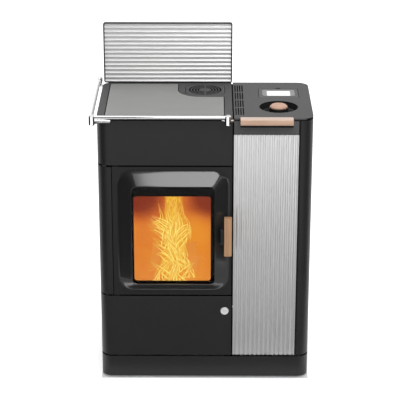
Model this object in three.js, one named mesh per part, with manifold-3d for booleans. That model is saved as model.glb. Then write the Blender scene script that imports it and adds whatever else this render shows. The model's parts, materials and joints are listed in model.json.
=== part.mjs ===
// Pellet and wood stove with a cooking top, in millimetres, +Z up.
// The body's own frame has X from its centre, Y backwards from its front face and Z up from the floor.
import * as THREE from 'three';
import { mergeVertices } from 'three/addons/utils/BufferGeometryUtils.js';
import Module from 'manifold-3d';

const wasm = await Module();
wasm.setup();

// Body
const bodyWidth = 834;
const bodyDepth = 472;
const bodyHeight = 1108;
const bodyCornerRadius = 45;

// Height of the feet, levels of the two lower casing seams and the upper seam's distance under the top
const footHeight = 9.4;
const plinthSeamLevel = 101.3;
const drawerSeamLevel = 366.8;
const hobSeamDrop = 194.9;

// Places of the upright seams, from the body's sides
const pelletSectionWidth = 308;
const leftColumnWidth = 54.7;
const rightColumnWidth = 53.2;

// Sheets, seams and clearances shared by all pieces
const casingSheet = 2.5;
const seamGap = 6;
const seatGap = 0.3;
const pinGap = 0.3;
const topPlate = 6;
const topShadowGap = 4;
const cutOverrun = 6;

// Chassis walls
const chassisSheet = 2.5;
const partitionSheet = 3;
const partitionSetback = 4;
const partitionCapWidth = 19;
const partitionCapHeight = 2.7;
const rightPostDepth = 29.7;

// Feet
const footPadRadius = 25;
const footPadTaper = 4;
const footStudRadius = 6;
const footStudReach = 9;
const footInset = 62;

// Back panel
const louvreWidth = 120;
const louvreHeight = 5;
const louvrePitch = 14;
const louvreTopDrop = 70;
const louvreSpread = 190;
const louvreRows = 6;

// Hob top
const hobPlateThickness = 14;
const hobSideInset = 32;
const hobRightInset = 33;
const hobFrontInset = 36;
const hobBackInset = 23.4;
const hobCornerRadius = 10;
const hobLineGap = 3.5;
const rimSmallRadius = 3;

// Where the notch in the hob starts, as a share of the body's depth; its other sizes are shares of its depth
const notchFrontShare = 0.5805;
const notchWidthShare = 1.051;
const notchRadiusShare = 0.538;

// Round outlet cover in the notch, in shares of the notch's depth
const grilleFrontShare = 0.16;
const grilleBackShare = 0.05;
const grilleWidthShare = 0.893;
const grilleCornerShare = 0.172;
const grillePlaceShare = 0.421;
const grilleHubShare = 0.143;
const grilleSlotShare = 0.037;
const grillePitchShare = 0.066;
const grilleBarShare = 0.026;
const grilleGap = 2;
const grilleSlotCount = 4;
const grilleSkirt = 2.5;

// Control deck
const deckSmallRadius = 3;
const ventSlotWidth = 4.8;
const ventSlotShare = 0.9;
const ventColumnPitch = 9.4;
const ventColumns = 4;
const ventRows = 4;
const ventFirstInset = 8;
const ventFrontInset = 42;
const ventBackInset = 40;

// Knob and its well
const knobFromRight = 130;
const knobDepthShare = 0.3115;
const wellRadius = 76;
const wellDepth = 30;
const wellSheet = 1.5;
const wellFlange = 7;
const wellCornerRadius = 4;
const knobRadius = 34;
const knobTopRadius = 28;
const knobCapHeight = 10;
const knobCapEdge = 4.5;
const knobSkirtRadius = 37;
const knobFloorGap = 1.2;
const knobProud = 8.5;
const spindleRadius = 5;
const spindleReach = 3;

// Tilting display
const displayWidth = 156.5;
const displayDepthShare = 0.2553;
const displayFromRight = 46;
const displayBackShare = 0.1822;
const displayGap = 2;
const displayThickness = 5;
const displayRadius = 4;
const displayPinRadius = 1.5;
const displayPinReach = 3.5;
const displayPinSetback = 4;
const moduleWidth = 130;
const moduleDepthShare = 0.66;
const moduleRadius = 10;
const moduleRise = 1.2;
const screenWidth = 94;
const screenDepthShare = 0.5;
const screenShift = 7;
const screenPocket = 1;
const screenRadius = 2;
const fingerNotchRadius = 13;
const fingerNotchRise = 10;

// Splashback
const splashHeight = 252;
const splashDepth = 12;
const splashFrameWidth = 4.5;
const splashOverhang = 5;
const splashSideInset = 3.5;
const splashRadius = 8;
const splashSheet = 2;

// Fluted aluminium panels
const flutePitch = 17.5;
const fluteDepth = 5;
const fluteRidge = 2.4;
const fluteBack = 2.5;
const fluteSteps = 4;

// Chrome rail
const rodRadius = 6.7;
const rodRise = 14.5;
const railFrontOffset = 35;
const railSideOffset = 15;
const railRightInset = 19;
const railRearInset = 6;
const postRadius = 12.5;
const postBelow = 17;
const postAbove = 10;
const postDomeRise = 5;
const postCrown = 1.25;
const postSkirtRadius = 9;
const bracketFootHalfWidth = 27;
const bracketFootRise = 3.5;
const bracketFootFall = 17;
const bracketNeckHalf = 8;
const bracketFootDrop = 7;
const bracketNeckDrop = 7;
const bracketCornerSpread = 47;
const bracketRearSpread = 28;

// Fire door
const doorSideGap = 2.5;
const doorSwingGap = 1;
const doorPanDepth = 13;
const doorSheet = 3;
const bevelMarginLeft = 14;
const bevelMarginRight = 5;
const bevelMarginTop = 8;
const bevelMarginBottom = 18.7;
const bevelSide = 62;
const bevelTop = 62;
const bevelBottom = 42.2;
const bevelRise = 36;
const bevelRadius = 60;
const windowRadius = 22;
const doorCornerRadius = 2;
const crownRound = 2;
const windowLip = 9;
const glassThickness = 4;
const glassOverlap = 5;
const retainerTopCover = 43;
const retainerLeftCover = 7;
const retainerRightCover = 15;
const retainerBottomCover = 4;
const retainerRadius = 12;
const retainerSheet = 4;
const retainerStandoff = 11;
const retainerLip = 4;
const retainerReach = 20;
const gasketStart = 8;
const gasketWidth = 12;
const gasketDepth = 13.7;
const hingeInset = 14;
const hingeDepth = 7;
const hingePinRadius = 3;
const hingePinReach = 12;
const hingePlate = 2.5;
const hingePlateSide = 10;

// Fire door handle
const handleWidth = 30;
const handleDepth = 24;
const handleLength = 159;
const handleChamfer = 4;
const handleEndEdge = 1;
const handleFront = 50;
const handleBracketLength = 66;
const handleLug = 12;
const handleBracketWidth = 15;
const handlePivotRadius = 4;
const handleBarrelRadius = 6.5;
const handleArmGap = 0.6;
const handleArmThickness = 6;
const handleTurnRoom = 3;

// Firebox
const fireboxSetback = 26;
const fireboxBackGap = 62;
const fireboxWall = 4;
const fireboxFloorRise = 10.7;
const mouthOffset = 12;
const mouthRadius = 30;
const fireboxShoulder = 36.75;
const frameLip = 12;
const frameDrop = 6;
const fireboxTopDrop = 14;

// Lining, hearth, burn pot, ash pan and baffle
const hearthThickness = 42;
const pocketWidthShare = 0.46;
const pocketDepthShare = 0.4255;
const boardThickness = 25;
const smokeChannel = 26;
const boardTopDrop = 216;
const baffleThickness = 15;
const baffleBackGap = 70;
const potFlange = 10;
const potFlangeThickness = 3;
const potWall = 4;
const potRise = 55;
const potSink = 14;
const potClearance = 3;
const potHoleRadius = 3.5;
const potHoleSides = 6;
const potHolePitch = 26;
const ashPanHeight = 22;
const ashPanWall = 1.5;

// Hopper
const hopperFront = 34;
const hopperBackInset = 32;
const hopperTopDrop = 40;
const hopperSheet = 2.5;
const hopperNeck = 80;
const hopperFunnelShare = 0.348;
const hopperOutlet = 74;
const hopperOutletFromLeft = 154;
const neckSkirt = 4;
const mouthSillShare = 0.609;
const mouthLintel = 8;
const mouthSideInset = 16;

// Auger
const augerSlope = 30;
const augerRise = 161.2;
const augerTubeRadius = 35;
const augerTubeWall = 2.5;
const augerEndFromPartition = 20.5;
const augerDepthShare = 0.5085;
const augerCap = 5;
const inletRise = 8;
const screwRadius = 29;
const screwShaftRadius = 9;
const screwPitch = 42;
const screwBlade = 4;
const screwRootShare = 0.25;
const screwSteps = 10;
const motorRadius = 28;
const gearboxHalf = 27;
const gearboxLength = 26;
const motorLength = 34;
const motorCoupling = 10;

// Chute from the auger to the fire
const chuteHalf = 28;
const chuteWall = 2.5;
const chuteStartX = 44;
const chuteStartDrop = 16;

// Smoke fan and flue
const fanFromBack = 58;
const fanRise = 87.2;
const fanFromPartition = 10.5;
const fanWidth = 84;
const fanWall = 2.5;
const scrollStartRadius = 66;
const scrollEndRadius = 84;
const scrollStartAngle = 22;
const scrollStepCount = 26;
const fanInletRadius = 45;
const impellerRadius = 56;
const impellerDiscWidth = 3;
const impellerBladeWidth = 46;
const impellerBlade = 2;
const impellerBlades = 12;
const impellerHubRadius = 14;
const impellerEyeRadius = 30;
const impellerLean = 35;
const impellerBladeShare = 0.92;
const impellerShaftRadius = 4;
const fanMotorRadius = 42;
const fanMotorLength = 56;
const fanShaftReach = 24;
const pipeRadius = 50;
const flueRadius = 40;
const flueWall = 2;
const flueReach = 34;
const flueFlange = 6;
const flueFlangeThickness = 3;
const outletHeight = 62;

// Air intake
const intakeRadius = 25;
const intakeWall = 2;
const intakeReach = 20;
const intakeRise = 24;
const airChannelHalf = 22;
const airChannelHeight = 28;

// Control box and mains inlet
const boxWidth = 66;
const boxSeamShare = 0.33;
const boxDepth = 190;
const boxHeight = 230;
const boxCover = 6;
const boxFromBack = 130;
const boxLevel = 130;
const boxRadius = 6;
const inletWidth = 48;
const inletHeight = 28;
const inletDepth = 24;
const inletFlange = 5;
const inletFlangeThickness = 2;
const inletRecess = 16;
const inletWall = 4;
const inletFromRight = 84;
const inletLevel = 150;
const inletBladeWidth = 6;
const inletBladeThickness = 2;
const inletBladePitch = 11;
const inletBladeLength = 12;

// Storage drawer
const drawerLeftInset = 42;
const drawerRightInset = 6;
const drawerBackInset = 80;
const drawerBoxFloor = 14;
const drawerBoxTopDrop = 14;
const drawerSheet = 1.5;
const ledgeFront = 60;
const ledgeThickness = 3;
const ledgeUnderDrawer = 10;
const latchFromDivide = 30;
const latchDrop = 67.3;
const latchRadius = 15.75;
const latchHoleRadius = 17.5;
const latchProud = 2.5;
const latchDepth = 12;
const latchDish = 0.8;
const latchCupRadius = 22;
const latchCupDepth = 20;
const latchCupWall = 2;
const latchStemRadius = 4;

// Pellet door
const pelletPanDepth = 18;
const pelletSheet = 2.5;
const pelletTopGap = 1;
const stripHeight = 52.7;
const stripGap = 2.3;
const flutedSetback = 7.8;
const tiltAxisDepth = 11.5;
const tiltAxisRise = 8;
const tiltPinRadius = 3;
const tiltPinReach = 4.8;
const barLength = 202;
const barDepth = 40;
const barHeight = 23;
const barProud = 7;
const barChamfer = 4;
const barEndEdge = 1;
const barStandoff = 2;
const barSeatHeight = 8;
const barSeatInset = 4;
const chuteCheekSheet = 1.5;
const cheekReach = 180;
const cheekFoot = 8;
const cheekSideInset = 22;
const cheekTopGap = 14;

// Counts of straight steps in curved edges, for corners of growing radius
const ringSteps = 4;
const pathSteps = 4;
const tinyArcRadius = 3;
const smallArcRadius = 12;
const mediumArcRadius = 40;
const tinyArcSteps = 1;
const smallArcSteps = 3;
const mediumArcSteps = 5;
const largeArcSteps = 6;
const slotArcSteps = 5;
const roundSides = 24;
const rodSides = 16;
const smallSides = 12;

// Places that follow from the sizes above
const halfWidth = bodyWidth / 2;
const hobSeamLevel = bodyHeight - hobSeamDrop;
const divideX = halfWidth - pelletSectionWidth;
const columnSeamX = leftColumnWidth - halfWidth;
const casingSeamX = halfWidth - rightColumnWidth;
const fireRightX = divideX - seamGap / 2;
const topUnder = bodyHeight - topPlate;
const casingTop = topUnder - topShadowGap;
const frameTop = topUnder - seatGap;
const baseUnder = footHeight;
const baseTop = footHeight + chassisSheet;
const frameBottom = baseTop + seatGap;
const innerHalf = halfWidth - casingSheet - seatGap;
const chassisInner = innerHalf - chassisSheet;
const backInner = bodyDepth - casingSheet;
const partitionLeft = divideX - partitionSheet / 2;
const partitionRight = divideX + partitionSheet / 2;
const rightPostX = casingSeamX - partitionSheet / 2;

const rad = THREE.MathUtils.degToRad;
const halfTurn = Math.PI;
const quarterTurn = halfTurn / 2;

// Solid modelling helpers

function solid(geometry) {
  const bare = geometry.clone();
  bare.deleteAttribute('normal');
  bare.deleteAttribute('uv');
  const welded = mergeVertices(bare);
  const triangles = [];
  const index = welded.index.array;
  for (let i = 0; i < index.length; i += 3) {
    const [a, b, c] = [index[i], index[i + 1], index[i + 2]];
    if (a !== b && b !== c && a !== c) {
      triangles.push(a, b, c);
    }
  }
  return new wasm.Manifold(new wasm.Mesh({
    numProp: 3,
    vertProperties: welded.attributes.position.array,
    triVerts: Uint32Array.from(triangles),
  }));
}

function join(first, ...others) {
  return others.reduce((sum, other) => sum.add(other), first);
}

function cut(first, ...tools) {
  return tools.reduce((rest, tool) => rest.subtract(tool), first);
}

function block(x0, x1, y0, y1, z0, z1) {
  const box = new THREE.BoxGeometry(x1 - x0, y1 - y0, z1 - z0);
  box.translate((x0 + x1) / 2, (y0 + y1) / 2, (z0 + z1) / 2);
  return solid(box);
}

function extrude(shape, length) {
  return new THREE.ExtrudeGeometry(shape, { depth: length, bevelEnabled: false, curveSegments: pathSteps });
}

// An outline in X and Y, raised from one level to another.
function level(shape, low, high) {
  return solid(extrude(shape, high - low).translate(0, 0, low));
}

// An outline in X and Z, carried from front to back.
function facing(shape, front, back) {
  return solid(extrude(shape, back - front).rotateX(quarterTurn).translate(0, back, 0));
}

// An outline in Y and Z, carried from left to right.
function across(shape, left, right) {
  const turn = new THREE.Matrix4().makeBasis(
    new THREE.Vector3(0, 1, 0),
    new THREE.Vector3(0, 0, 1),
    new THREE.Vector3(1, 0, 0),
  );
  return solid(extrude(shape, right - left).applyMatrix4(turn).translate(left, 0, 0));
}

function roundedRect(x0, x1, y0, y1, radius) {
  return polygon(rectPoints(x0, x1, y0, y1, radius, arcSteps(radius)));
}

// Straight steps for a quarter turn of a radius.
function arcSteps(radius) {
  if (radius < tinyArcRadius) {
    return tinyArcSteps;
  }
  if (radius < smallArcRadius) {
    return smallArcSteps;
  }
  return radius < mediumArcRadius ? mediumArcSteps : largeArcSteps;
}

// Corner radii run from the low left corner round to the right.
function addRoundedRect(path, x0, x1, y0, y1, radii) {
  const [lowLeft, lowRight, highRight, highLeft] = radii;
  path.moveTo(x0 + lowLeft, y0);
  path.lineTo(x1 - lowRight, y0);
  path.absarc(x1 - lowRight, y0 + lowRight, lowRight, -quarterTurn, 0);
  path.lineTo(x1, y1 - highRight);
  path.absarc(x1 - highRight, y1 - highRight, highRight, 0, quarterTurn);
  path.lineTo(x0 + highLeft, y1);
  path.absarc(x0 + highLeft, y1 - highLeft, highLeft, quarterTurn, halfTurn);
  path.lineTo(x0, y0 + lowLeft);
  path.absarc(x0 + lowLeft, y0 + lowLeft, lowLeft, halfTurn, halfTurn + quarterTurn);
}

function roundedRing(outer, inner) {
  const shape = roundedRect(...outer);
  shape.holes.push(roundedRect(...inner));
  return shape;
}

function polygon(points) {
  return new THREE.Shape(points.map(([x, y]) => new THREE.Vector2(x, y)));
}

function rod(radius, from, to, sides = roundSides) {
  const along = new THREE.Vector3().subVectors(to, from);
  const bar = new THREE.CylinderGeometry(radius, radius, along.length(), sides);
  const upright = new THREE.Vector3(0, 1, 0);
  const turn = new THREE.Quaternion().setFromUnitVectors(upright, along.clone().normalize());
  bar.applyQuaternion(turn);
  bar.translate((from.x + to.x) / 2, (from.y + to.y) / 2, (from.z + to.z) / 2);
  return solid(bar);
}

function post(radius, x, y, low, high, sides = roundSides) {
  return rod(radius, new THREE.Vector3(x, y, low), new THREE.Vector3(x, y, high), sides);
}

// A profile of radius and height turned about an upright axis.
function turned(profile, x, y, sides = roundSides) {
  const lathe = new THREE.LatheGeometry(profile.map(([r, z]) => new THREE.Vector2(r, z)), sides);
  return solid(lathe.rotateX(quarterTurn).translate(x, y, 0));
}

// A closed skin through rings with equal counts of points; the last ring meets the first.
function ringLoft(rings) {
  const positions = [];
  const count = rings[0].length;
  rings.forEach((ring, i) => {
    const next = rings[(i + 1) % rings.length];
    for (let j = 0; j < count; j += 1) {
      const k = (j + 1) % count;
      positions.push(...ring[j], ...ring[k], ...next[k]);
      positions.push(...ring[j], ...next[k], ...next[j]);
    }
  });
  const geometry = new THREE.BufferGeometry();
  geometry.setAttribute('position', new THREE.Float32BufferAttribute(positions, 3));
  return solid(geometry);
}

// A skin through rings with a flat lid on the first and the last.
function cappedLoft(rings) {
  const positions = [];
  const count = rings[0].length;
  for (let i = 0; i + 1 < rings.length; i += 1) {
    for (let j = 0; j < count; j += 1) {
      const k = (j + 1) % count;
      positions.push(...rings[i][j], ...rings[i][k], ...rings[i + 1][k]);
      positions.push(...rings[i][j], ...rings[i + 1][k], ...rings[i + 1][j]);
    }
  }
  const last = rings[rings.length - 1];
  for (let j = 1; j + 1 < count; j += 1) {
    positions.push(...rings[0][0], ...rings[0][j + 1], ...rings[0][j]);
    positions.push(...last[0], ...last[j], ...last[j + 1]);
  }
  const geometry = new THREE.BufferGeometry();
  geometry.setAttribute('position', new THREE.Float32BufferAttribute(positions, 3));
  return solid(geometry);
}

function arcPoints(x, y, radius, from, to, steps) {
  const points = [];
  for (let i = 0; i <= steps; i += 1) {
    const angle = from + (to - from) * i / steps;
    points.push([x + radius * Math.cos(angle), y + radius * Math.sin(angle)]);
  }
  return points;
}

// Points of a rounded rectangle, the same number for any size and radius.
function rectPoints(x0, x1, z0, z1, radius, steps = ringSteps) {
  return [
    ...arcPoints(x1 - radius, z0 + radius, radius, -quarterTurn, 0, steps),
    ...arcPoints(x1 - radius, z1 - radius, radius, 0, quarterTurn, steps),
    ...arcPoints(x0 + radius, z1 - radius, radius, quarterTurn, halfTurn, steps),
    ...arcPoints(x0 + radius, z0 + radius, radius, halfTurn, halfTurn + quarterTurn, steps),
  ];
}

// Materials

function finish(color, roughness, metalness) {
  return new THREE.MeshStandardMaterial({ color, roughness, metalness });
}

const blackSteel = finish(0x2c2c2d, 0.5, 0.3);
const deckSteel = finish(0x5f5f60, 0.55, 0.3);
const hobSteel = finish(0x9b9b96, 0.5, 0.6);
const aluminium = finish(0xc6c6c6, 0.35, 0.9);
const chrome = finish(0xe8e8ea, 0.08, 1);
const oak = finish(0xc89669, 0.6, 0);
const castIron = finish(0x333333, 0.8, 0.4);
const vermiculite = finish(0xb59a72, 0.95, 0);
const clearGlass = finish(0xf2f2f2, 0.05, 0);
const gasketRope = finish(0x3a3a38, 0.95, 0);
const galvanised = finish(0x9da1a4, 0.45, 0.8);
const blackPlastic = finish(0x1b1b1c, 0.6, 0);
const greyPlastic = finish(0x7b7b7c, 0.5, 0);
const screenWhite = finish(0xf6f6f6, 0.2, 0);
const polishedSteel = finish(0xd9d9da, 0.25, 0.9);

const stove = new THREE.Group();

function piece(name, body, material) {
  const faces = body.getMesh();
  const indexed = new THREE.BufferGeometry();
  indexed.setAttribute('position', new THREE.BufferAttribute(faces.vertProperties, 3));
  indexed.setIndex(new THREE.BufferAttribute(faces.triVerts, 1));
  const geometry = indexed.toNonIndexed();
  geometry.computeVertexNormals();
  const mesh = new THREE.Mesh(geometry, material);
  mesh.name = name;
  stove.add(mesh);
}

// Casing panels

// Points along the body's rounded plan on one side, from its front or side round to its side or back.
function wrapPoints(side, inset, start, end) {
  const cornerX = side * (halfWidth - bodyCornerRadius);
  const radius = bodyCornerRadius - inset;
  const sideX = side * (halfWidth - inset);
  const sideAngle = side < 0 ? halfTurn : 0;
  const points = [];
  if ('frontX' in start) {
    points.push([start.frontX, inset]);
    const to = side < 0 ? -halfTurn : 0;
    points.push(...arcPoints(cornerX, bodyCornerRadius, radius, -quarterTurn, to, largeArcSteps));
  } else {
    points.push([sideX, start.sideY]);
  }
  if ('backX' in end) {
    const cornerY = bodyDepth - bodyCornerRadius;
    points.push(...arcPoints(cornerX, cornerY, radius, sideAngle, quarterTurn, largeArcSteps));
    points.push([end.backX, bodyDepth - inset]);
  } else {
    points.push([sideX, end.sideY]);
  }
  return points;
}

function wrappedSheet(side, start, end, low, high) {
  const outer = wrapPoints(side, 0, start, end);
  const inner = wrapPoints(side, casingSheet, start, end).reverse();
  return level(polygon([...outer, ...inner]), low, high);
}

const backPanelEdge = halfWidth - bodyCornerRadius - seamGap / 2;
const casingBackX = halfWidth - bodyCornerRadius;
const plinthTop = plinthSeamLevel - seamGap / 2;
const drawerLow = plinthSeamLevel + seamGap / 2;
const drawerHigh = drawerSeamLevel - seamGap / 2;
const doorLow = drawerSeamLevel + seamGap / 2;
const doorHigh = hobSeamLevel - seamGap / 2;
const hobCasingLow = hobSeamLevel + seamGap / 2;
const columnRight = columnSeamX - doorSideGap / 2;

function makeCasings() {
  const plan = [-halfWidth, halfWidth, 0, bodyDepth, bodyCornerRadius];
  const planInner = [
    casingSheet - halfWidth, halfWidth - casingSheet, casingSheet, bodyDepth - casingSheet,
    bodyCornerRadius - casingSheet,
  ];
  piece('plinth', level(roundedRing(plan, planInner), baseUnder, plinthTop), blackSteel);

  const left = { backX: -casingBackX };
  const upper = wrappedSheet(-1, { frontX: fireRightX }, left, hobCasingLow, casingTop);
  piece('upper_casing', upper, blackSteel);

  const column = wrappedSheet(-1, { frontX: columnRight }, left, doorLow, doorHigh);
  piece('left_column', column, blackSteel);

  const lowerStart = { sideY: bodyCornerRadius + seamGap };
  piece('lower_side_panel', wrappedSheet(-1, lowerStart, left, drawerLow, drawerHigh), blackSteel);

  const rightStart = { frontX: casingSeamX + seamGap / 2 };
  const casing = wrappedSheet(1, rightStart, { backX: casingBackX }, drawerLow, casingTop);
  piece('right_casing', casing, blackSteel);
}

// Chassis

function makeBase() {
  const inset = casingSheet + seatGap;
  const plan = roundedRect(
    inset - halfWidth, halfWidth - inset, inset, bodyDepth - inset, bodyCornerRadius - inset,
  );
  let plate = level(plan, baseUnder, baseTop);
  const places = [
    ['foot_front_left', footInset - halfWidth, footInset],
    ['foot_front_right', halfWidth - footInset, footInset],
    ['foot_rear_left', footInset - halfWidth, bodyDepth - footInset],
    ['foot_rear_right', halfWidth - footInset, bodyDepth - footInset],
  ];
  const padTop = footHeight - seatGap;
  const profile = [
    [0, 0],
    [footPadRadius, 0],
    [footPadRadius, padTop / 2],
    [footPadRadius - footPadTaper, padTop],
    [footStudRadius, padTop],
    [footStudRadius, padTop + footStudReach],
    [0, padTop + footStudReach],
  ];
  for (const [name, x, y] of places) {
    const holeRadius = footStudRadius + pinGap;
    const hole = post(holeRadius, x, y, baseUnder - cutOverrun, baseTop + cutOverrun, smallSides);
    plate = cut(plate, hole);
    piece(name, turned(profile, x, y, smallSides), blackPlastic);
  }
  piece('base_plate', plate, galvanised);
}

function makeChassis() {
  const wallFront = bodyCornerRadius;
  const wallBack = bodyDepth - bodyCornerRadius;
  const leftWall = block(-innerHalf, -chassisInner, wallFront, wallBack, frameBottom, frameTop);
  const leftLedge = ledge(-chassisInner - chassisSheet, drawerLeft + ledgeUnderDrawer);
  piece('chassis_left', join(leftWall, leftLedge), galvanised);
  const rightWall = block(chassisInner, innerHalf, wallFront, wallBack, frameBottom, frameTop);
  piece('chassis_right', rightWall, galvanised);

  const webBack = backInner - seatGap;
  const web = block(partitionLeft, partitionRight, partitionSetback, webBack, frameBottom, frameTop);
  const capLeft = divideX - partitionCapWidth / 2;
  const capRight = divideX + partitionCapWidth / 2;
  const capLow = frameTop - partitionCapHeight;
  const cap = block(capLeft, capRight, partitionSetback, backInner - seatGap, capLow, frameTop);
  const partition = cut(
    join(web, cap, ledge(drawerRight - ledgeUnderDrawer, partitionRight)),
    tiltPin(partitionLeft - cutOverrun, partitionRight + cutOverrun, pinGap),
    smokeBore(pipeRadius + seatGap),
    chutePrism(chuteHalf + seatGap),
  );
  piece('partition_wall', partition, blackSteel);

  const postBack = partitionSetback + rightPostDepth;
  const rightPost = block(
    rightPostX, rightPostX + partitionSheet, partitionSetback, Math.min(postBack, hopperFront - seatGap),
    frameBottom, frameTop,
  );
  const rightPin = tiltPin(rightPostX - cutOverrun, rightPostX + partitionSheet + cutOverrun, pinGap);
  piece('right_post', cut(rightPost, rightPin), blackSteel);
}

// A shelf edge that the drawer box slides on.
function ledge(left, right) {
  const top = drawerFloor - seatGap;
  return block(left, right, ledgeFront, drawerBackY, top - ledgeThickness, top);
}

// Back panel with louvres and the holes for flue, air and mains

function makeBackPanel() {
  const shape = roundedRect(-backPanelEdge, backPanelEdge, drawerLow, casingTop, seamGap);
  for (const side of [-1, 1]) {
    for (let row = 0; row < louvreRows; row += 1) {
      const x = side * louvreSpread;
      const z = casingTop - louvreTopDrop - row * louvrePitch;
      shape.holes.push(roundedRect(
        x - louvreWidth / 2, x + louvreWidth / 2,
        z - louvreHeight / 2, z + louvreHeight / 2, louvreHeight / 2,
      ));
    }
  }
  const front = backInner - cutOverrun;
  const back = bodyDepth + cutOverrun;
  const panel = cut(
    facing(shape, backInner, bodyDepth),
    yRod(flueRadius + seatGap, flueX, flueLevel, front, back),
    yRod(intakeRadius + seatGap, windowCentreX, intakeLevel, front, back),
    block(
      inletX - inletWidth / 2 - seatGap, inletX + inletWidth / 2 + seatGap, front, back,
      inletLevel - inletHeight / 2 - seatGap, inletLevel + inletHeight / 2 + seatGap,
    ),
  );
  piece('back_panel', panel, blackSteel);
}

function yRod(radius, x, z, front, back, sides = roundSides) {
  return rod(radius, new THREE.Vector3(x, front, z), new THREE.Vector3(x, back, z), sides);
}

function xRod(radius, y, z, left, right, sides = roundSides) {
  return rod(radius, new THREE.Vector3(left, y, z), new THREE.Vector3(right, y, z), sides);
}

// Hob top: dark rim, warm grey plate and the round outlet cover

const hobLeft = hobSideInset - halfWidth;
const hobRight = fireRightX - hobRightInset;
const hobFront = hobFrontInset;
const hobBack = bodyDepth - hobBackInset;
const notchFront = bodyDepth * notchFrontShare;
const notchDepth = hobBack - notchFront;
const notchRadius = notchDepth * notchRadiusShare;
const notchLeft = hobRight - notchDepth * notchWidthShare;
const grilleX = hobRight - notchDepth * grillePlaceShare;
const grilleWidth = notchDepth * grilleWidthShare;
const grilleCornerRadius = notchDepth * grilleCornerShare;
const grilleFront = notchFront + notchDepth * grilleFrontShare;
const grilleBack = hobBack - notchDepth * grilleBackShare;
const grilleY = (grilleFront + grilleBack) / 2;

// The hob plate's outline, grown outwards by a gap for the hole in the rim.
function hobOutline(gap) {
  const shape = new THREE.Shape();
  const left = hobLeft - gap;
  const right = hobRight + gap;
  const front = hobFront - gap;
  const back = hobBack + gap;
  const corner = hobCornerRadius + gap;
  const sweep = notchRadius - gap;
  const sweepX = notchLeft + notchRadius;
  const sweepY = notchFront + notchRadius;
  shape.moveTo(left + corner, front);
  shape.lineTo(right - corner, front);
  shape.absarc(right - corner, front + corner, corner, -quarterTurn, 0);
  shape.lineTo(right, notchFront + gap);
  shape.lineTo(sweepX, notchFront + gap);
  shape.absarc(sweepX, sweepY, sweep, -quarterTurn, -halfTurn, true);
  if (back > sweepY) {
    shape.lineTo(notchLeft + gap, back);
  }
  shape.lineTo(left + corner, back);
  shape.absarc(left + corner, back - corner, corner, quarterTurn, halfTurn);
  shape.lineTo(left, front + corner);
  shape.absarc(left + corner, front + corner, corner, halfTurn, halfTurn + quarterTurn);
  return shape;
}

function grilleOutline(gap) {
  const corner = grilleCornerRadius + gap;
  return roundedRect(
    grilleX - grilleWidth / 2 - gap, grilleX + grilleWidth / 2 + gap,
    grilleFront - gap, grilleBack + gap, corner,
  );
}

function makeHobTop() {
  const rim = new THREE.Shape();
  addRoundedRect(rim, -halfWidth, fireRightX, 0, bodyDepth, [
    bodyCornerRadius, rimSmallRadius, rimSmallRadius, bodyCornerRadius,
  ]);
  rim.holes.push(hobOutline(hobLineGap), grilleOutline(grilleGap));
  piece('hob_rim', level(rim, topUnder, bodyHeight), deckSteel);

  const plateUnder = bodyHeight - hobPlateThickness + seatGap;
  piece('hob_plate', level(hobOutline(0), plateUnder, bodyHeight + seatGap), hobSteel);

  piece('outlet_cover', makeOutletCover(plateUnder), deckSteel);
}

// A shallow cover with rings of slots, each broken by a bar to the front and the back.
function makeOutletCover(under) {
  const skirtInner = roundedRect(
    grilleX - grilleWidth / 2 + grilleSkirt, grilleX + grilleWidth / 2 - grilleSkirt,
    grilleFront + grilleSkirt, grilleBack - grilleSkirt, grilleCornerRadius - grilleSkirt,
  );
  const hollow = level(skirtInner, under - cutOverrun, topUnder);
  let cover = cut(level(grilleOutline(0), under, bodyHeight), hollow);
  for (let ring = 0; ring < grilleSlotCount; ring += 1) {
    const inner = notchDepth * (grilleHubShare + ring * grillePitchShare);
    const outer = inner + notchDepth * grilleSlotShare;
    const barAngle = Math.asin(notchDepth * grilleBarShare / 2 / inner);
    for (const middle of [0, halfTurn]) {
      const from = middle - quarterTurn + barAngle;
      const to = middle + quarterTurn - barAngle;
      const slot = polygon([
        ...arcPoints(grilleX, grilleY, outer, from, to, 2 * slotArcSteps),
        ...arcPoints(grilleX, grilleY, inner, to, from, 2 * slotArcSteps),
      ]);
      cover = cover.subtract(level(slot, under - cutOverrun, bodyHeight + cutOverrun));
    }
  }
  return cover;
}

// Control deck, knob and display

const deckLeft = divideX + seamGap / 2;
const knobX = halfWidth - knobFromRight;
const knobY = bodyDepth * knobDepthShare;
const displayRight = halfWidth - displayFromRight;
const displayLeft = displayRight - displayWidth;
const displayDepth = bodyDepth * displayDepthShare;
const displayBack = bodyDepth - bodyDepth * displayBackShare;
const displayFront = displayBack - displayDepth;
const displayX = (displayLeft + displayRight) / 2;
const displayY = (displayFront + displayBack) / 2;
const displayTop = bodyHeight;
const displayUnder = displayTop - displayThickness;
const displayPinY = displayFront + displayPinSetback;
const displayPinZ = (displayTop + displayUnder) / 2;
const ventRowPitch = (bodyDepth - ventFrontInset - ventBackInset) / (ventRows - 1 + ventSlotShare);
const ventSlotLength = ventRowPitch * ventSlotShare;

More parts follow.
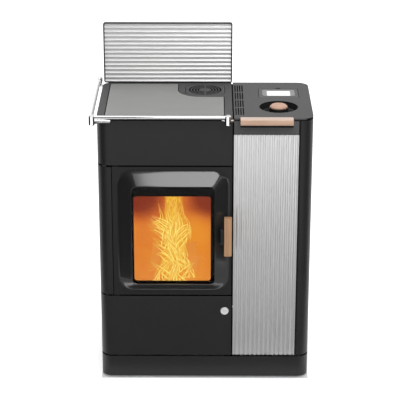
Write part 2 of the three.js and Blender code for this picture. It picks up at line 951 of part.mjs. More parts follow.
function makeDeck() {
  const deck = new THREE.Shape();
  addRoundedRect(deck, deckLeft, halfWidth, 0, bodyDepth, [
    deckSmallRadius, bodyCornerRadius, bodyCornerRadius, deckSmallRadius,
  ]);
  for (let column = 0; column < ventColumns; column += 1) {
    for (let row = 0; row < ventRows; row += 1) {
      const x = deckLeft + ventFirstInset + column * ventColumnPitch;
      const y = ventFrontInset + row * ventRowPitch;
      deck.holes.push(roundedRect(
        x - ventSlotWidth / 2, x + ventSlotWidth / 2, y, y + ventSlotLength, ventSlotWidth / 2,
      ));
    }
  }
  deck.holes.push(roundedRect(
    displayLeft - displayGap, displayRight + displayGap, displayFront - displayGap, displayBack + displayGap,
    displayRadius + displayGap,
  ));
  const knobHole = post(wellRadius, knobX, knobY, topUnder - cutOverrun, bodyHeight + cutOverrun);
  const notch = post(
    fingerNotchRadius, displayX, displayBack + displayGap - fingerNotchRadius + fingerNotchRise,
    topUnder - cutOverrun, bodyHeight + cutOverrun, smallSides,
  );
  const pinReach = displayGap + displayPinReach + pinGap;
  const pinHoles = xRod(
    displayPinRadius + pinGap, displayPinY, displayPinZ,
    displayLeft - pinReach, displayRight + pinReach, smallSides,
  );
  piece('control_deck', cut(level(deck, topUnder, bodyHeight), knobHole, notch, pinHoles), deckSteel);
}

function makeKnob() {
  const wellTop = frameTop;
  const wellFloor = bodyHeight - wellDepth;
  const wall = wellRadius - seatGap;
  const dish = [
    [spindleRadius + pinGap, wellFloor - wellSheet],
    [wall + wellSheet - wellCornerRadius, wellFloor - wellSheet],
    [wall + wellSheet, wellFloor - wellSheet + wellCornerRadius],
    [wall + wellSheet, wellTop - wellSheet],
    [wall + wellFlange, wellTop - wellSheet],
    [wall + wellFlange, wellTop],
    [wall, wellTop],
    [wall, wellFloor + wellCornerRadius],
    [wall - wellCornerRadius, wellFloor],
    [spindleRadius + pinGap, wellFloor],
    [spindleRadius + pinGap, wellFloor - wellSheet],
  ];
  piece('knob_well', turned(dish, knobX, knobY), blackSteel);

  const capTop = bodyHeight + knobProud;
  const capLow = capTop - knobCapHeight;
  const skirtTop = capLow - seatGap;
  const skirtLow = wellFloor + knobFloorGap;
  const skirt = [
    [0, wellFloor - wellSheet - spindleReach],
    [spindleRadius, wellFloor - wellSheet - spindleReach],
    [spindleRadius, skirtLow],
    [knobSkirtRadius, skirtLow],
    [knobSkirtRadius, skirtTop],
    [0, skirtTop],
  ];
  piece('knob_skirt', turned(skirt, knobX, knobY), blackPlastic);
  const cap = [
    [0, capLow],
    [knobRadius, capLow],
    [knobRadius, capLow + knobCapEdge],
    [knobTopRadius, capTop],
    [0, capTop],
  ];
  piece('knob_cap', turned(cap, knobX, knobY), oak);
}

function centredRect(width, depth, radius, y) {
  return roundedRect(displayX - width / 2, displayX + width / 2, y - depth / 2, y + depth / 2, radius);
}

function makeDisplay() {
  const outline = centredRect(displayWidth, displayDepth, displayRadius, displayY);
  const plate = level(outline, displayUnder, displayTop);
  const pins = xRod(
    displayPinRadius, displayPinY, displayPinZ,
    displayLeft - displayPinReach, displayRight + displayPinReach, smallSides,
  );
  const moduleTop = displayTop + moduleRise;
  const screenFloor = moduleTop - screenPocket;
  const moduleOutline = centredRect(moduleWidth, displayDepth * moduleDepthShare, moduleRadius, displayY);
  const module = level(moduleOutline, displayPinZ, moduleTop);
  const screenDepth = displayDepth * screenDepthShare;
  const screenY = displayY - screenShift;
  const pocket = centredRect(
    screenWidth + 2 * seatGap, screenDepth + 2 * seatGap, screenRadius + seatGap, screenY,
  );
  const panel = cut(join(plate, pins, module), level(pocket, screenFloor, moduleTop + cutOverrun));
  piece('display_panel', panel, greyPlastic);
  const screen = centredRect(screenWidth, screenDepth, screenRadius, screenY);
  piece('display_screen', level(screen, screenFloor + seatGap, moduleTop), screenWhite);
}

// Fluted sheets: concave flutes with narrow ridges between, back at zero and ridges towards -Y

function fluteProfile(width) {
  const points = [];
  const count = Math.round(width / flutePitch);
  const pitch = width / count;
  const hollow = pitch - fluteRidge;
  for (let i = 0; i < count; i += 1) {
    const start = i * pitch + fluteRidge / 2;
    for (let j = 0; j <= fluteSteps; j += 1) {
      const acrossShare = j / fluteSteps;
      const dip = fluteDepth * Math.sin(acrossShare * halfTurn);
      points.push([start + acrossShare * hollow, dip - fluteDepth - fluteBack]);
    }
  }
  const trough = -fluteDepth - fluteBack;
  return polygon([[0, trough], ...points, [width, trough], [width, 0], [0, 0]]);
}

// Splashback behind the hob

function makeSplashback() {
  const back = bodyDepth + splashOverhang;
  const front = back - splashDepth;
  const left = splashSideInset - halfWidth;
  const right = divideX;
  const low = bodyHeight + seatGap;
  const high = low + splashHeight;
  const inner = [
    left + splashFrameWidth, right - splashFrameWidth, low + splashFrameWidth, high - splashFrameWidth,
  ];
  const hoop = roundedRect(left, right, low, high, splashRadius);
  const [innerLeft, innerRight, innerLow, innerHigh] = inner;
  hoop.holes.push(polygon([
    [innerLeft, innerLow], [innerRight, innerLow], [innerRight, innerHigh], [innerLeft, innerHigh],
  ]));
  const backing = roundedRect(left, right, low, high, splashRadius);
  const frame = join(facing(hoop, front, back - splashSheet), facing(backing, back - splashSheet, back));
  piece('splash_frame', frame, blackSteel);

  const room = inner[3] - inner[2] - 2 * seatGap;
  const width = inner[1] - inner[0] - 2 * seatGap;
  const sheet = extrude(fluteProfile(room), width);
  const turn = new THREE.Matrix4().makeBasis(
    new THREE.Vector3(0, 0, 1),
    new THREE.Vector3(0, 1, 0),
    new THREE.Vector3(-1, 0, 0),
  );
  sheet.applyMatrix4(turn);
  sheet.translate(inner[1] - seatGap, back - splashSheet - seatGap, inner[2] + seatGap);
  piece('splash_panel', solid(sheet), aluminium);
}

// Chrome rail round the hob

const railFrontY = -railFrontOffset;
const railSideX = -halfWidth - railSideOffset;
const railRightX = fireRightX - railRightInset;
const railRearY = bodyDepth - railRearInset;
const rodLevel = bodyHeight + rodRise;
const postLow = bodyHeight - postBelow;
const postHigh = rodLevel + postAbove;

function railPost(x, y) {
  const profile = [
    [0, postLow],
    [postSkirtRadius, postLow],
    [postRadius, postLow + postRadius - postSkirtRadius],
    [postRadius, postHigh - postDomeRise],
    [postSkirtRadius, postHigh - postCrown],
    [0, postHigh],
  ];
  return turned(profile, x, y, rodSides);
}

// A flared bracket whose wide foot lies on the casing and whose neck meets the post.
function railBracket(footX, footY, alongX, alongY, x, y) {
  const stationShares = [[0, 1], [0.12, 0.8], [0.3, 0.45], [0.55, 0.15], [0.8, 0.02], [1, 0]];
  const rings = stationShares.map(([reachShare, flareShare]) => {
    const halfWide = bracketNeckHalf + (bracketFootHalfWidth - bracketNeckHalf) * flareShare;
    const rise = bracketNeckHalf + (bracketFootRise - bracketNeckHalf) * flareShare;
    const fall = bracketNeckHalf + (bracketFootFall - bracketNeckHalf) * flareShare;
    const centreX = footX + (x - footX) * reachShare;
    const centreY = footY + (y - footY) * reachShare;
    const drop = bracketFootDrop + (bracketNeckDrop - bracketFootDrop) * reachShare;
    const ring = [];
    for (let i = 0; i < smallSides; i += 1) {
      const angle = 2 * halfTurn * i / smallSides;
      const sideways = halfWide * Math.cos(angle);
      const up = Math.sin(angle);
      ring.push([
        centreX + sideways * alongX,
        centreY + sideways * alongY,
        bodyHeight - drop + (up > 0 ? rise : fall) * up,
      ]);
    }
    return ring;
  });
  return cappedLoft(rings);
}

function makeRail() {
  const gap = 2 * seatGap;
  const plan = roundedRect(-halfWidth - gap, halfWidth + gap, -gap, bodyDepth + gap, bodyCornerRadius + gap);
  const bodySpace = level(plan, 0, bodyHeight + seatGap);
  const corner = bodyCornerRadius * (1 - Math.SQRT1_2);
  const feet = [
    ['rail_post_right', railRightX, railFrontY, railRightX, 0, 1, 0],
    [
      'rail_post_left', railSideX, railFrontY,
      bracketCornerSpread / 2 + corner - halfWidth, corner / 2, Math.SQRT1_2, -Math.SQRT1_2,
    ],
    ['rail_post_rear', railSideX, railRearY, -halfWidth, railRearY - bracketRearSpread, 0, -1],
  ];
  const frontRodLeft = new THREE.Vector3(railSideX, railFrontY, rodLevel);
  const frontRod = rod(
    rodRadius + seatGap, frontRodLeft, new THREE.Vector3(railRightX, railFrontY, rodLevel), rodSides,
  );
  const sideRodBack = new THREE.Vector3(railSideX, railRearY, rodLevel);
  const sideRod = rod(rodRadius + seatGap, frontRodLeft, sideRodBack, rodSides);
  for (const [name, x, y, footX, footY, alongX, alongY] of feet) {
    const bracket = railBracket(footX, footY, alongX, alongY, x, y);
    const blank = join(railPost(x, y), bracket);
    piece(name, cut(blank, bodySpace, frontRod, sideRod), chrome);
  }
  const apart = rodRadius + 2 * seatGap;
  const frontStart = new THREE.Vector3(railSideX + apart, railFrontY, rodLevel);
  const frontEnd = new THREE.Vector3(railRightX - seatGap, railFrontY, rodLevel);
  piece('rail_front', rod(rodRadius, frontStart, frontEnd, rodSides), chrome);
  const sideStart = new THREE.Vector3(railSideX, railFrontY + apart, rodLevel);
  const sideEnd = new THREE.Vector3(railSideX, railRearY - seatGap, rodLevel);
  piece('rail_side', rod(rodRadius, sideStart, sideEnd, rodSides), chrome);
}

// Fire door

const doorLeft = columnSeamX + doorSideGap / 2;
const doorRight = fireRightX - doorSwingGap;
const footLeft = doorLeft + bevelMarginLeft;
const footRight = doorRight - bevelMarginRight;
const footLow = doorLow + bevelMarginBottom;
const footHigh = doorHigh - bevelMarginTop;
const windowLeft = footLeft + bevelSide;
const windowRight = footRight - bevelSide;
const windowLow = footLow + bevelBottom;
const windowHigh = footHigh - bevelTop;
const windowCentreX = (windowLeft + windowRight) / 2;
const windowCentreZ = (windowLow + windowHigh) / 2;
const hingeX = doorLeft + hingeInset;
const hingeY = hingeDepth;

function windowRing(grow, radius, y) {
  return rectPoints(windowLeft - grow, windowRight + grow, windowLow - grow, windowHigh + grow, radius)
    .map(([x, z]) => [x, y, z]);
}

// A ring of the raised frame, from its foot on the door at share 0 to the window's edge at share 1.
function bevelRing(share, y) {
  const between = (from, to) => from + (to - from) * share;
  return rectPoints(
    between(footLeft, windowLeft), between(footRight, windowRight),
    between(footLow, windowLow), between(footHigh, windowHigh), between(bevelRadius, windowRadius),
  ).map(([x, z]) => [x, y, z]);
}

function doorRing(inset, radius, y) {
  return rectPoints(doorLeft + inset, doorRight - inset, doorLow + inset, doorHigh - inset, radius)
    .map(([x, z]) => [x, y, z]);
}

// Where the raised frame's outer face lies, at a share of the way from its foot to the window.
const bevelShares = [[0, 0], [0.08, 0.02], [0.18, 0.09], [0.3, 0.22], [0.9, 0.92], [0.97, 0.985]];

function makeFireDoor() {
  const slopeBack = doorSheet * Math.hypot(bevelSide, bevelRise) / bevelSide;
  const front = bevelShares.map(([acrossShare, riseShare]) => bevelRing(acrossShare, -bevelRise * riseShare));
  const backShares = bevelShares.slice(0, -1).reverse();
  const back = backShares.map(([acrossShare, riseShare]) => {
    const step = doorSheet + (slopeBack - doorSheet) * acrossShare;
    return bevelRing(acrossShare, step - bevelRise * riseShare);
  });
  const rings = [
    doorRing(0, doorCornerRadius, 0),
    ...front,
    windowRing(0, windowRadius, crownRound - bevelRise),
    windowRing(0, windowRadius, windowLip - bevelRise),
    windowRing(doorSheet, windowRadius + doorSheet, windowLip - bevelRise),
    windowRing(doorSheet, windowRadius + doorSheet, slopeBack + crownRound - bevelRise),
    ...back,
    doorRing(doorSheet, doorCornerRadius, doorSheet),
    doorRing(doorSheet, doorCornerRadius, doorPanDepth),
    doorRing(0, doorCornerRadius, doorPanDepth),
  ];
  const pan = ringLoft(rings);
  const pinHole = post(
    hingePinRadius + pinGap, hingeX, hingeY, doorLow - cutOverrun, doorHigh + cutOverrun, smallSides,
  );
  piece('fire_door', cut(pan, pinHole), blackSteel);

  const glassFront = windowLip - bevelRise + seatGap;
  const glassBack = glassFront + glassThickness;
  const glass = roundedRect(
    windowLeft - glassOverlap, windowRight + glassOverlap,
    windowLow - glassOverlap, windowHigh + glassOverlap,
    windowRadius,
  );
  piece('door_glass', facing(glass, glassFront, glassBack), clearGlass);

  const inner = [
    windowLeft + retainerLeftCover, windowRight - retainerRightCover,
    windowLow + retainerBottomCover, windowHigh - retainerTopCover, retainerRadius,
  ];
  const plateFront = glassBack + retainerStandoff;
  const plateBack = plateFront + retainerSheet;
  const plate = roundedRing(grown(retainerReach, windowRadius + retainerReach), inner);
  const lip = roundedRing(grown(retainerLip, windowRadius), inner);
  const retainer = join(facing(plate, plateFront, plateBack), facing(lip, glassBack + seatGap, plateFront));
  piece('glass_retainer', retainer, blackSteel);

  const gasketFront = plateBack + seatGap;
  const outer = grown(gasketStart + gasketWidth, windowRadius + gasketStart + gasketWidth);
  const hole = grown(gasketStart, windowRadius + gasketStart);
  piece('door_gasket', facing(roundedRing(outer, hole), gasketFront, gasketFront + gasketDepth), gasketRope);
}

// The window's rectangle grown outwards.
function grown(by, radius) {
  return [windowLeft - by, windowRight + by, windowLow - by, windowHigh + by, radius];
}

const gasketBack = windowLip - bevelRise + seatGap + glassThickness + retainerStandoff
  + retainerSheet + seatGap + gasketDepth;

// Fire door handle

const handleRight = doorRight;
const handleLeft = handleRight - handleWidth;
const handleY0 = -handleFront;
const handleY1 = handleY0 + handleDepth;
const pivotX = handleLeft - handleBracketWidth / 2;
const pivotY = (handleY0 + handleY1) / 2;

// The raised frame's straight slope on the door's right side.
function slopeY(x) {
  const [lowAcross, lowRise] = bevelShares[3];
  const [highAcross, highRise] = bevelShares[4];
  const acrossShare = (footRight - x) / (footRight - windowRight);
  const riseShare = lowRise + (highRise - lowRise) * (acrossShare - lowAcross) / (highAcross - lowAcross);
  return -bevelRise * riseShare;
}

function makeHandle() {
  const low = windowCentreZ - handleBracketLength / 2;
  const high = windowCentreZ + handleBracketLength / 2;
  const bracketLeft = pivotX - handleBracketWidth / 2;
  const bracketRight = pivotX + handleBracketWidth / 2 - handleTurnRoom;
  const lug = polygon([
    [bracketLeft, slopeY(bracketLeft) - seatGap],
    [bracketLeft, pivotY - handleBarrelRadius],
    [bracketRight, pivotY - handleBarrelRadius],
    [bracketRight, slopeY(bracketRight) - seatGap],
  ]);
  const slotFront = pivotY - handleBarrelRadius - cutOverrun;
  const slotBack = pivotY + handleBarrelRadius + handleArmGap + handleTurnRoom;
  const gap = block(
    bracketLeft - cutOverrun, bracketRight + cutOverrun,
    slotFront, slotBack, low + handleLug, high - handleLug,
  );
  const boreRadius = handlePivotRadius + pinGap;
  const bore = post(boreRadius, pivotX, pivotY, low - cutOverrun, high + cutOverrun, smallSides);
  piece('handle_bracket', cut(level(lug, low, high), gap, bore), blackSteel);

  const armLow = low + handleLug + handleArmGap;
  const armHigh = high - handleLug - handleArmGap;
  const arm = join(
    post(handleBarrelRadius, pivotX, pivotY, armLow, armHigh, smallSides),
    post(handlePivotRadius, pivotX, pivotY, low, high, smallSides),
    block(
      pivotX, handleLeft - seatGap, pivotY - handleArmThickness / 2, pivotY + handleArmThickness / 2,
      armLow, armHigh,
    ),
  );
  piece('handle_arm', arm, blackSteel);

  const half = handleLength / 2;
  const grip = softBar(
    [handleLeft, handleRight, handleY0, handleY1], windowCentreZ - half, windowCentreZ + half,
    handleChamfer, handleEndEdge, (x, y, z) => [x, y, z],
  );
  piece('door_handle', grip, oak);
}

// A bar of rounded section with slightly broken ends; the place function sets it in the body's frame.
function softBar(section, start, end, radius, endEdge, place) {
  const [a0, a1, b0, b1] = section;
  const ring = (inset, along) => rectPoints(a0 + inset, a1 - inset, b0 + inset, b1 - inset, radius)
    .map(([a, b]) => place(a, b, along));
  return cappedLoft([
    ring(endEdge, start), ring(0, start + endEdge), ring(0, end - endEdge), ring(endEdge, end),
  ]);
}

// Firebox with its front frame, mouth collar, air intake and the door's hinge pins

const fireboxLeft = windowLeft - mouthOffset - fireboxShoulder;
const fireboxRight = windowRight + mouthOffset + fireboxShoulder;
const fireboxFront = fireboxSetback;
const fireboxBack = bodyDepth - fireboxBackGap;
const fireboxLow = drawerSeamLevel + fireboxFloorRise;
const fireboxHigh = bodyHeight - fireboxTopDrop;
const chamberLeft = fireboxLeft + fireboxWall;
const chamberRight = fireboxRight - fireboxWall;
const chamberFront = fireboxFront + fireboxWall;
const chamberBack = fireboxBack - fireboxWall;
const chamberFloor = fireboxLow + fireboxWall;

function makeFirebox() {
  const shell = cut(
    block(fireboxLeft, fireboxRight, fireboxFront, fireboxBack, fireboxLow, fireboxHigh),
    block(chamberLeft, chamberRight, chamberFront, chamberBack, chamberFloor, fireboxHigh - fireboxWall),
  );
  const frame = block(
    fireboxLeft - frameLip, fireboxRight + frameLip, fireboxFront, chamberFront,
    fireboxLow - frameDrop, fireboxHigh,
  );
  const collarRadius = mouthRadius + fireboxWall;
  const collarOutline = roundedRect(...grown(mouthOffset + fireboxWall, collarRadius));
  const collar = facing(collarOutline, gasketBack + seatGap, chamberFront);
  const mouth = facing(
    roundedRect(...grown(mouthOffset, mouthRadius)), gasketBack - cutOverrun, chamberFront + cutOverrun,
  );
  const lugs = [hingeLug(doorHigh, 1), hingeLug(doorLow, -1)];
  const flange = block(
    seatGap - chassisInner, partitionLeft - seatGap, bodyCornerRadius, fireboxBack, fireboxLow, chamberFloor,
  );
  const intake = yRod(
    intakeRadius, windowCentreX, intakeLevel, fireboxBack - fireboxWall, bodyDepth + intakeReach,
  );
  const firebox = cut(
    join(shell, frame, collar, flange, intake, ...lugs),
    mouth,
    smokeBore(fanInletRadius),
    chutePrism(chuteHalf + seatGap),
    yRod(
      intakeRadius - intakeWall, windowCentreX, intakeLevel,
      chamberBack - cutOverrun, bodyDepth + intakeReach + cutOverrun,
    ),
  );
  piece('firebox', firebox, castIron);
}

// A plate in the seam above or below the door, with a pin that stands into the door's edge.
function hingeLug(edge, direction) {
  const near = edge + direction * (seamGap - hingePlate) / 2;
  const far = near + direction * hingePlate;
  const low = Math.min(near, far);
  const high = Math.max(near, far);
  const left = hingeX - hingePlateSide;
  const right = hingeX + hingePlateSide;
  const plate = block(left, right, hingeY - hingePinRadius - hingePlate, chamberFront, low, high);
  const web = block(left, right, fireboxFront - hingePlate, chamberFront, ...spanTo(far, direction));
  const pinEnd = edge - direction * hingePinReach;
  const pin = post(
    hingePinRadius, hingeX, hingeY, Math.min(pinEnd, far), Math.max(pinEnd, far), smallSides,
  );
  return join(plate, web, pin);
}

// The lower lug's web rises to the front frame; the upper one already lies on it.
function spanTo(far, direction) {
  return direction < 0 ? [far, fireboxLow + fireboxWall] : [far - hingePlate, far];
}

// Lining with its hearth, baffle, burn pot and ash pan inside the firebox

const hearthTop = chamberFloor + seatGap + hearthThickness;
const boardTop = fireboxHigh - boardTopDrop;
const rightBoardRight = chamberRight - smokeChannel;
const liningBack = chamberBack - seatGap;
const boardFront = chamberFront + seatGap;
const hearthY = (chamberFront + liningBack - boardThickness) / 2;
const pocketHalfWidth = (chamberRight - chamberLeft) * pocketWidthShare / 2;
const pocketHalfDepth = (chamberBack - chamberFront) * pocketDepthShare / 2;

function makeLining() {
  const hearthLeft = chamberLeft + seatGap;
  const hearthRight = chamberRight - seatGap;
  const hearthShape = roundedRect(hearthLeft, hearthRight, boardFront, liningBack, seatGap);
  hearthShape.holes.push(roundedRect(
    windowCentreX - pocketHalfWidth, windowCentreX + pocketHalfWidth,
    hearthY - pocketHalfDepth, hearthY + pocketHalfDepth, seatGap,
  ));
  const airChannel = block(
    windowCentreX - airChannelHalf, windowCentreX + airChannelHalf, hearthY, liningBack + cutOverrun,
    chamberFloor, chamberFloor + airChannelHeight,
  );
  const hearth = cut(level(hearthShape, chamberFloor + seatGap, hearthTop), airChannel);
  const left = chamberLeft + seatGap;
  const boards = join(
    block(left, rightBoardRight, liningBack - boardThickness, liningBack, hearthTop, boardTop),
    block(left, left + boardThickness, boardFront, liningBack, hearthTop, boardTop),
    block(rightBoardRight - boardThickness, rightBoardRight, boardFront, liningBack, hearthTop, boardTop),
  );
  piece('firebox_lining', cut(join(hearth, boards), chutePrism(chuteHalf + seatGap)), vermiculite);

  const baffleLow = boardTop + seatGap;
  const baffleBack = liningBack - boardThickness - baffleBackGap;
  const baffle = block(left, rightBoardRight, boardFront, baffleBack, baffleLow, baffleLow + baffleThickness);
  piece('smoke_baffle', baffle, vermiculite);
}

function makeBurnPot() {
  const outerX = pocketHalfWidth - potClearance;
  const outerY = pocketHalfDepth - potClearance;
  const flangeLow = hearthTop + seatGap;
  const flangeHigh = flangeLow + potFlangeThickness;
  const low = flangeLow - potSink;
  const high = flangeHigh + potRise;
  const around = (x, y, z0, z1) => block(
    windowCentreX - x, windowCentreX + x, hearthY - y, hearthY + y, z0, z1,
  );
  const flangeX = pocketHalfWidth + potFlange;
  const flangeY = pocketHalfDepth + potFlange;
  const cup = join(around(outerX, outerY, low, high), around(flangeX, flangeY, flangeLow, flangeHigh));
  let pot = cut(cup, around(outerX - potWall, outerY - potWall, low + potWall, high + cutOverrun));
  const columns = Math.floor((outerX - potWall) / potHolePitch);
  const rows = Math.floor((outerY - potWall) / potHolePitch);
  for (let i = 1 - columns; i < columns; i += 1) {
    for (let j = 1 - rows; j < rows; j += 1) {
      const x = windowCentreX + i * potHolePitch;
      const y = hearthY + j * potHolePitch;
      const holeTop = low + potWall + cutOverrun;
      pot = pot.subtract(post(potHoleRadius, x, y, low - cutOverrun, holeTop, potHoleSides));
    }
  }
  piece('burn_pot', pot, castIron);

  const panLow = chamberFloor + seatGap;
  const panHigh = panLow + ashPanHeight;
  const pan = cut(
    around(outerX, outerY, panLow, panHigh),
    around(outerX - ashPanWall, outerY - ashPanWall, panLow + ashPanWall, panHigh + cutOverrun),
  );
  piece('ash_pan', pan, galvanised);
}

// Smoke pipe, fan, motor and flue

const fanY = fireboxBack - fanFromBack;
const fanLevel = drawerSeamLevel + fanRise;
const fanLeft = partitionRight + fanFromPartition;
const fanRight = fanLeft + fanWidth;
const flueX = (fanLeft + fanRight) / 2;
const flueLevel = fanLevel - scrollEndRadius + outletHeight / 2;
const intakeLevel = chamberFloor + intakeRise;
const flueFront = backInner - flueFlangeThickness - seatGap;

function smokeBore(radius) {
  return xRod(radius, fanY, fanLevel, chamberRight - cutOverrun, fanLeft);
}

// The scroll's outline in Y and Z, drawn inwards by a wall, with its mouth open to the back.
function scrollOutline(wall, mouthY) {
  const points = [];
  const from = rad(-scrollStartAngle);
  const to = 3 * quarterTurn;
  for (let i = 0; i <= scrollStepCount; i += 1) {
    const share = i / scrollStepCount;
    const angle = from + (to - from) * share;
    const radius = scrollStartRadius + (scrollEndRadius - scrollStartRadius) * share - wall;
    points.push([fanY + radius * Math.cos(angle), fanLevel + radius * Math.sin(angle)]);
  }
  const floor = fanLevel - scrollEndRadius + wall;
  const roof = fanLevel - scrollEndRadius + outletHeight - wall;
  points.push([mouthY, floor], [mouthY, roof]);
  return polygon(points);
}

function makeSmokeFan() {
  const mouthY = flueFront - seatGap;
  const hollow = across(scrollOutline(fanWall, mouthY + cutOverrun), fanLeft + fanWall, fanRight - fanWall);
  const pipeLeft = fireboxRight + seatGap;
  const housing = cut(
    join(
      across(scrollOutline(0, mouthY), fanLeft, fanRight),
      xRod(pipeRadius, fanY, fanLevel, pipeLeft, fanLeft + fanWall),
    ),
    hollow,
    xRod(fanInletRadius, fanY, fanLevel, pipeLeft - cutOverrun, fanLeft + cutOverrun),
    xRod(
      impellerShaftRadius + pinGap, fanY, fanLevel,
      fanRight - cutOverrun, fanRight + cutOverrun, smallSides,
    ),
  );
  piece('smoke_fan_housing', housing, galvanised);

  const discLeft = fanRight - fanWall - 2 * fanWall - impellerDiscWidth;
  const discRight = discLeft + impellerDiscWidth;
  const bladeLeft = discLeft - impellerBladeWidth;
  const shaftEnd = fanRight + fanShaftReach;
  let wheel = join(
    xRod(impellerRadius, fanY, fanLevel, discLeft, discRight),
    xRod(impellerHubRadius, fanY, fanLevel, discLeft - impellerHubRadius, discRight, smallSides),
    xRod(impellerShaftRadius, fanY, fanLevel, discLeft, shaftEnd, smallSides),
  );
  for (let i = 0; i < impellerBlades; i += 1) {
    wheel = wheel.add(impellerBladeAt(2 * halfTurn * i / impellerBlades, bladeLeft, discRight));
  }
  piece('smoke_fan_impeller', wheel, galvanised);

  const motor = join(
    xRod(fanMotorRadius, fanY, fanLevel, fanRight + seatGap, fanRight + fanMotorLength),
    xRod(
      fanMotorRadius - motorCoupling, fanY, fanLevel, fanRight + fanMotorLength,
      fanRight + fanMotorLength + motorCoupling,
    ),
  );
  const bore = xRod(
    impellerShaftRadius + pinGap, fanY, fanLevel, fanRight - cutOverrun, shaftEnd + pinGap, smallSides,
  );
  piece('smoke_fan_motor', cut(motor, bore), blackSteel);

  const flueEnd = bodyDepth + flueReach;
  const flange = facing(
    roundedRect(
      fanLeft - flueFlange, fanRight + flueFlange,
      flueLevel - flueRadius - flueFlange, flueLevel + flueRadius + flueFlange, flueFlange,
    ),
    flueFront, flueFront + flueFlangeThickness,
  );
  const collar = cut(
    join(flange, yRod(flueRadius, flueX, flueLevel, flueFront, flueEnd)),
    yRod(flueRadius - flueWall, flueX, flueLevel, flueFront - cutOverrun, flueEnd + cutOverrun),
  );
  piece('flue_collar', collar, galvanised);
}

// A plate blade that leans back from the radius, between the eye and the rim.
function impellerBladeAt(angle, left, right) {
  const lean = rad(impellerLean);
  const length = impellerRadius - impellerEyeRadius;
  const bladeLength = length / Math.cos(lean) * impellerBladeShare;
  const blade = new THREE.BoxGeometry(right - left, bladeLength, impellerBlade);
  blade.rotateX(lean);
  blade.translate(0, (impellerRadius + impellerEyeRadius) / 2, 0);
  blade.rotateX(angle);
  blade.translate((left + right) / 2, fanY, fanLevel);
  return solid(blade);
}

// Hopper with its funnel and mouth

const hopperLeft = partitionRight + seatGap;
const hopperRight = chassisInner - seatGap;
const hopperBack = bodyDepth - hopperBackInset;
const hopperTop = bodyHeight - hopperTopDrop;
const augerY = bodyDepth * augerDepthShare;
const augerBottomLevel = drawerSeamLevel + augerRise;
const hopperFunnelBottom = augerBottomLevel + hopperNeck;
const hopperFunnelTop = hopperFunnelBottom + (hopperTop - hopperFunnelBottom) * hopperFunnelShare;
const mouthSill = hopperFunnelBottom + (hopperTop - hopperFunnelBottom) * mouthSillShare;
const outletLeft = hopperLeft + hopperOutletFromLeft;
const outletRight = outletLeft + hopperOutlet;
const outletFront = augerY - hopperOutlet / 2;
const outletBack = augerY + hopperOutlet / 2;
const mouthTop = hopperTop - mouthLintel;

function boxRing(x0, x1, y0, y1, z) {
  return [[x0, y0, z], [x1, y0, z], [x1, y1, z], [x0, y1, z]];
}

function hopperForm(wall, top, bottom) {
  const wide = [hopperLeft + wall, hopperRight - wall, hopperFront + wall, hopperBack - wall];
  const narrow = [outletLeft + wall, outletRight - wall, outletFront + wall, outletBack - wall];
  return cappedLoft([
    boxRing(...narrow, bottom),
    boxRing(...narrow, hopperFunnelBottom),
    boxRing(...wide, hopperFunnelTop),
    boxRing(...wide, top),
  ]);
}

function makeHopper() {
  const neckLow = augerBottomLevel - cutOverrun;
  const outer = hopperForm(0, hopperTop, neckLow);
  const inner = hopperForm(hopperSheet, hopperTop - hopperSheet, neckLow - cutOverrun);
  const mouth = block(
    hopperLeft + mouthSideInset, hopperRight - mouthSideInset - rightColumnWidth + cutOverrun,
    hopperFront - cutOverrun, hopperFront + hopperSheet + cutOverrun, mouthSill, mouthTop,
  );
  const seat = augerRod(augerTubeRadius + seatGap, cutOverrun, cutOverrun);
  piece('hopper', cut(outer, inner, mouth, seat, belowAuger()), galvanised);
}

// Auger: an inclined tube with a screw, its geared motor at the low end

const augerDirection = new THREE.Vector3(-Math.cos(rad(augerSlope)), 0, Math.sin(rad(augerSlope)));
const augerStart = new THREE.Vector3(outletRight, augerY, augerBottomLevel);
const augerEndX = partitionRight + augerEndFromPartition;
const augerLength = (augerStart.x - augerEndX) / Math.cos(rad(augerSlope));

function augerPoint(distance) {
  return augerStart.clone().addScaledVector(augerDirection, distance);
}

function augerLevelAt(x) {
  return augerBottomLevel + (outletRight - x) * Math.tan(rad(augerSlope));
}

function augerRod(radius, startExtra, endExtra, sides = roundSides) {
  return rod(radius, augerPoint(-startExtra), augerPoint(augerLength + endExtra), sides);
}

// Everything below a line just under the auger's axis, beneath the hopper's outlet.
function belowAuger() {
  const left = outletLeft - cutOverrun;
  const right = outletRight + cutOverrun;
  const front = outletFront - cutOverrun;
  const back = outletBack + cutOverrun;
  const shape = polygon([
    [left, augerLevelAt(right) - hopperOutlet],
    [right, augerLevelAt(right) - hopperOutlet],
    [right, augerLevelAt(right) - neckSkirt],
    [left, augerLevelAt(left) - neckSkirt],
  ]);
  return facing(shape, front, back);
}

// An outline over the tube's upper side, from a height above its axis to the hopper's funnel.
function aboveAuger(left, right, rise) {
  const top = hopperFunnelBottom + cutOverrun;
  return polygon([
    [left, augerLevelAt(left) + rise],
    [right, augerLevelAt(right) + rise],
    [right, top],
    [left, top],
  ]);
}

